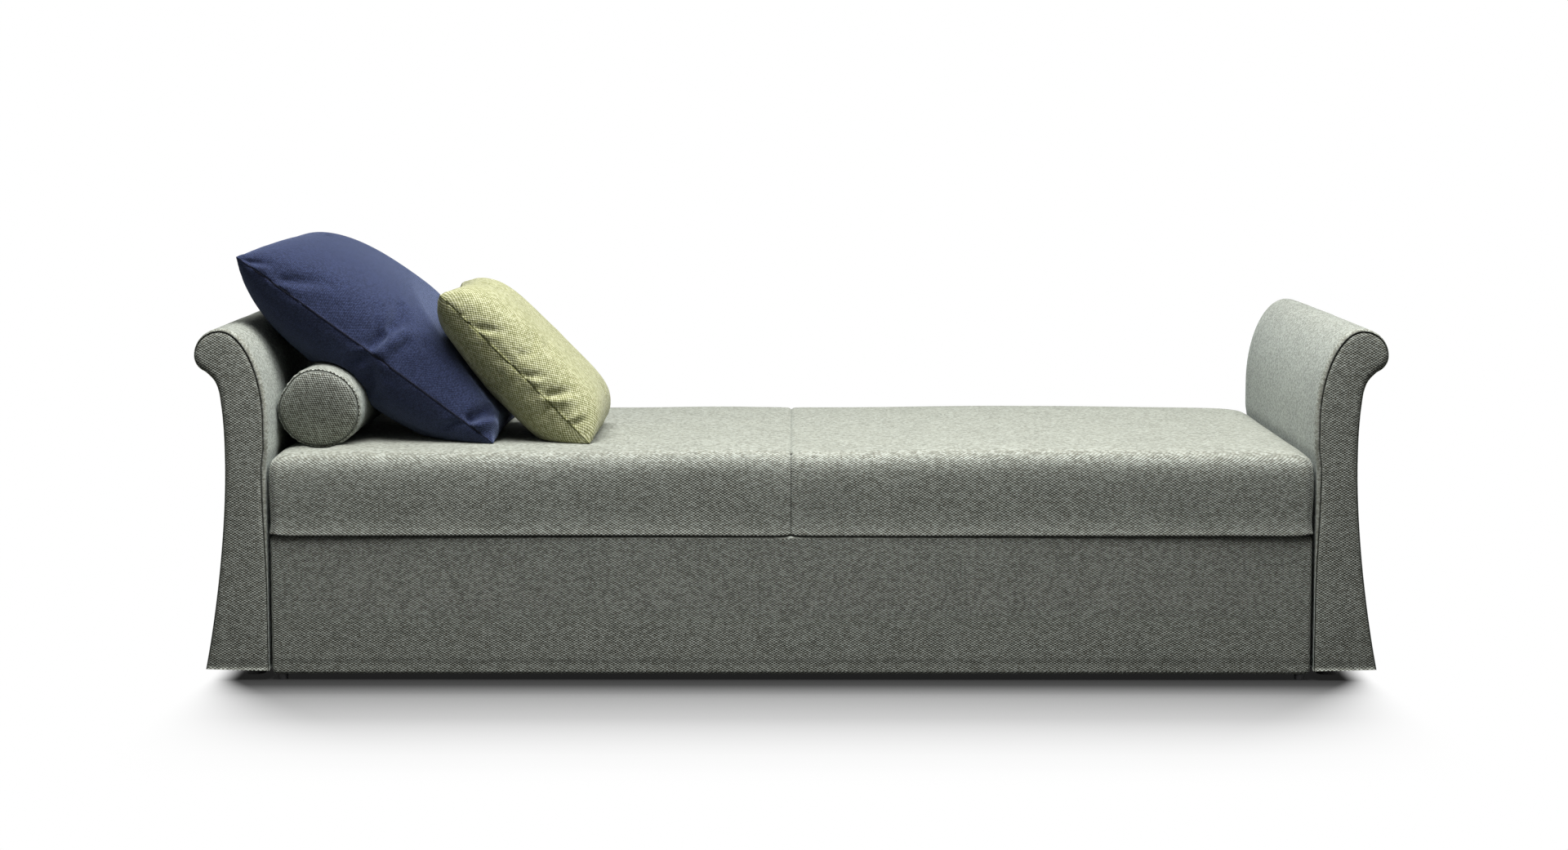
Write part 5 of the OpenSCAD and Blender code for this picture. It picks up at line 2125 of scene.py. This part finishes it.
@dataclass
class Studio:
    """Floor with a painted shadow, white surroundings, soft light and the camera, in metres."""

    lens: float = 70.3
    sensor_mm: float = 36.0
    camera_at: Point = (0.0051, -6.1288, 1.0803)
    camera_turn: Point = (math.radians(84.0), 0.0, 0.0032)
    camera_far: float = 100.0
    fill: float = 0.04
    key_power: float = 241.0
    key_at: Point = (0.35, -0.85, 3.2)
    key_aim: Point = (0.0, 0.0, 0.35)
    key_size: Place = (3.4, 1.6)
    floor_half: float = 30.0
    bounce: str = "#404040"
    half_depth: float = 0.45
    # The painted shadow ends this far out at the divan's own ends, earlier and softer further in front
    end_at: float = 1.04
    end_lead: float = 0.6
    end_width: float = 0.06
    end_widen: float = 0.7
    # Grey of the floor, a painted shadow that is darkest at the divan, and share of white over it, by
    # distance in front of the divan
    shadow_greys: tuple[Place, ...] = (
        (0.0, 0.024), (0.045, 0.042), (0.09, 0.105), (0.14, 0.175), (0.3, 0.19),
    )
    whites: tuple[Place, ...] = (
        (0.0, 0.014), (0.03, 0.008), (0.06, 0.0), (0.13, 0.0), (0.18, 0.15), (0.267, 0.27),
        (0.353, 0.39), (0.435, 0.59), (0.515, 0.73), (0.593, 0.836), (0.669, 0.92), (0.742, 0.95),
        (0.813, 0.985), (0.9, 1.0),
    )

    def build(self) -> None:
        """Build the whole studio."""
        self._surroundings()
        self._floor()
        self._lights()
        self._camera()

    def _surroundings(self) -> None:
        """White to the camera and in reflections, a plain fill light to the rest."""
        world = bpy.data.worlds.new("studio_surroundings")
        bpy.context.scene.world = world
        world.use_nodes = True
        world.node_tree.nodes.clear()
        sheet = Sheet(world.node_tree)
        fill, white = (
            sheet.add("ShaderNodeBackground", {"Color": (1, 1, 1, 1), "Strength": strength}).outputs[0]
            for strength in (self.fill, 1.0)
        )
        both = sheet.add("ShaderNodeMixShader", {0: self._seen(sheet), 1: fill, 2: white})
        sheet.add("ShaderNodeOutputWorld", {"Surface": both.outputs[0]})

    def _seen(self, sheet: Sheet) -> Socket:
        """Tell the rays that the camera, a reflection or a view through glass takes from all others.

        Args:
            sheet: The node tree.

        Returns:
            The output with 1 for those rays.
        """
        rays = sheet.add("ShaderNodeLightPath").outputs
        mirror = sheet.calc("MAXIMUM", rays["Is Glossy Ray"], rays["Is Transmission Ray"])
        return sheet.calc("MAXIMUM", rays["Is Camera Ray"], mirror)

    def _floor(self) -> None:
        """Lay a pale floor that keeps the divan's shadow, with a painted shadow before the divan that fades
        to white.
        """
        material, sheet = new_sheet("matt_white_floor")
        place = sheet.add("ShaderNodeTexCoord").outputs["Object"]
        axes = sheet.add("ShaderNodeSeparateXYZ", {0: sheet.vector("ABSOLUTE", place)}).outputs
        ahead = sheet.calc("MAXIMUM", sheet.calc("SUBTRACT", axes["Y"], self.half_depth), 0.0)
        # Past the ends the floor is soon white
        led = sheet.calc("MULTIPLY_ADD", ahead, self.end_lead, axes["X"])
        width = sheet.calc("MULTIPLY_ADD", ahead, self.end_widen, self.end_width)
        share = sheet.calc("DIVIDE", sheet.calc("SUBTRACT", led, self.end_at), width)
        end = sheet.add("ShaderNodeMapRange", {"Value": share}, interpolation_type="SMOOTHSTEP").outputs[0]
        # Painted shadow: the floor's grey darkens towards the divan and its share of white fades it out
        grey, pale = (
            sheet.ramp(ahead, [d for d, _ in stops], [(g, g, g, 1.0) for _, g in stops])
            for stops in (self.shadow_greys, self.whites)
        )
        # White in front and white past the ends, whichever is more
        white = sheet.calc("MULTIPLY_ADD", sheet.calc("SUBTRACT", 1.0, pale), end, pale)
        lit = sheet.add("ShaderNodeBsdfDiffuse", {"Color": grey, "Roughness": 0.0})
        glow = sheet.add("ShaderNodeEmission", {"Color": (1, 1, 1, 1), "Strength": 1.0})
        bright = sheet.add("ShaderNodeMixShader", {0: white, 1: lit.outputs[0], 2: glow.outputs[0]})
        dim = sheet.add("ShaderNodeBsdfDiffuse", {"Color": linear(self.bounce), "Roughness": 0.0})
        shown = {0: self._seen(sheet), 1: dim.outputs[0], 2: bright.outputs[0]}
        both = sheet.add("ShaderNodeMixShader", shown)
        sheet.add("ShaderNodeOutputMaterial", {"Surface": both.outputs[0]})
        mesh = bpy.data.meshes.new("studio_floor")
        far = self.floor_half
        corners = [(-far, -far, 0), (far, -far, 0), (far, far, 0), (-far, far, 0)]
        mesh.from_pydata(corners, [], [(0, 1, 2, 3)])
        mesh.materials.append(material)
        floor = bpy.data.objects.new("studio_floor", mesh)
        bpy.context.scene.collection.objects.link(floor)

    def _lights(self) -> None:
        """Hang one wide soft box over and a little before the divan."""
        lamp = bpy.data.lights.new("overhead_soft_box", "AREA")
        lamp.shape = "RECTANGLE"
        lamp.size, lamp.size_y = self.key_size
        lamp.energy = self.key_power
        box = bpy.data.objects.new("overhead_soft_box", lamp)
        box.location = self.key_at
        aim = Vector(self.key_aim) - Vector(self.key_at)
        box.rotation_euler = aim.to_track_quat("-Z", "Y").to_euler()
        bpy.context.scene.collection.objects.link(box)

    def _camera(self) -> None:
        """Set the camera at the photograph's viewing angle."""
        lens = bpy.data.cameras.new("front_camera")
        lens.lens = self.lens
        lens.sensor_width = self.sensor_mm
        lens.clip_end = self.camera_far
        camera = bpy.data.objects.new("front_camera", lens)
        camera.location = self.camera_at
        camera.rotation_euler = self.camera_turn
        bpy.context.scene.collection.objects.link(camera)
        bpy.context.scene.camera = camera


def cushions(bolster: Bolster, nest: Nest) -> list[Cushion]:
    """Size and place the two scatter cushions.

    Args:
        bolster: The bolster under the large one.
        nest: What they lean on.

    Returns:
        The large indigo cushion and the small olive one.
    """
    large_lie, small_lie = Lie((-809.7, 613.0), 36.3), Lie((-525.4, 576.7), 45.0)
    large = Cushion(
        "indigo_cushion", "large_cushion", "large_cushion", "indigo_slub", INDIGO_SLUB,
        300.0, 130.0, 112.0, large_lie.centre, -30.0, large_lie.tilt,
        floor=lambda t: nest.large_floor(t, large_lie, Arm(Side.LEFT), bolster),
        roof=lambda t: nest.meeting(t, large_lie) - 0.2,
        full_foot=2.8,
        folds=(
            Fold(True, (2.0, 0.0), (24.0, 118.0), 15.0, 17.0, -0.6),
            Fold(True, (-284.0, 0.0), (-232.0, 34.0), 7.0, 9.0, -0.4),
            Fold(True, (-205.0, 14.0), (-112.0, 78.0), 7.0, 15.0, -0.4),
            Fold(True, (236.0, 8.0), (268.0, 80.0), 20.0, 17.0, -0.7),
            Fold(False, (226.0, 0.0), (196.0, 60.0), 7.0, 12.0, 0.4),
            Fold(False, (8.0, 0.0), (-16.0, 70.0), 7.0, 14.0, 0.4),
        ),
    )
    small = Cushion(
        "olive_cushion", "small_cushion", "small_cushion", "olive_basket", OLIVE_BASKET,
        200.0, 80.0, 80.0, small_lie.centre, -130.0, small_lie.tilt,
        floor=lambda t: np.maximum(nest.meeting(t, small_lie) + 0.2, nest.seat_floor(t, small_lie)),
        roof=lambda t: np.full_like(t, nest.far),
        draw_in=12.0,
        draw_foot=3.0,
        full=4.6,
        full_foot=6.0,
        lean_out=0.17,
        pucker=4.0,
        folds=(
            Fold(True, (-112.0, 0.0), (-52.0, 44.0), 7.0, 9.0, -0.5),
            Fold(True, (18.0, 0.0), (60.0, 40.0), 7.0, 9.0, -0.6),
            Fold(True, (76.0, 0.0), (116.0, 64.0), 10.0, 11.0, -0.8),
            Fold(True, (150.0, 0.0), (168.0, 40.0), 5.0, 8.0, 0.5),
            Fold(False, (92.0, 0.0), (110.0, 46.0), 6.0, 10.0, -0.5),
        ),
    )
    return [large, small]


def settings() -> None:
    """Set the plain view transform."""
    bpy.context.scene.view_settings.view_transform = "Standard"


def main() -> None:
    """Build the divan's looks piece by piece."""
    logging.basicConfig(level=logging.INFO, format="%(name)s: %(message)s")
    settings()
    Studio().build()
    palette = Palette()
    Underframe().dress(frame["nodes"], palette)
    bolster = Bolster()
    upper = MattressCover(
        "mattress_upholstery", "mattress", ("mattress_cover", "mattress_core"), HOPSACK, "grey_weave",
        978.0, 448.0, 0.0, 275.0, 159.0, 4.0, True,
        swells=((480.0, 300.0, 4.0), (-150.0, 120.0, 2.0)),
        dent=(bolster.x, bolster.z, bolster.radius * bolster.squash + 0.6, bolster.length / 2),
    )
    lower = MattressCover(
        "lower_mattress_upholstery", "pull_out_bed", ("lower_mattress_cover", "lower_mattress_core"),
        TICKING, "ticking", 945.0, 395.0, -22.5, 83.0, 112.0, 3.0, False, edge_fall=9.0,
    )
    covers = (
        Arm(Side.LEFT),
        Arm(Side.RIGHT),
        Panel("front_panel_cover", "pull_out_bed", "front_cover", -446.0),
        Panel("rear_panel_cover", "base", "rear_cover", 446.0),
        upper,
        lower,
        bolster,
        *cushions(bolster, Nest()),
    )
    for cover in covers:
        piece = cover.build(palette)
        LOG.info("%s: %d faces", piece.name, len(piece.data.polygons))


if __name__ == "__main__":
    main()
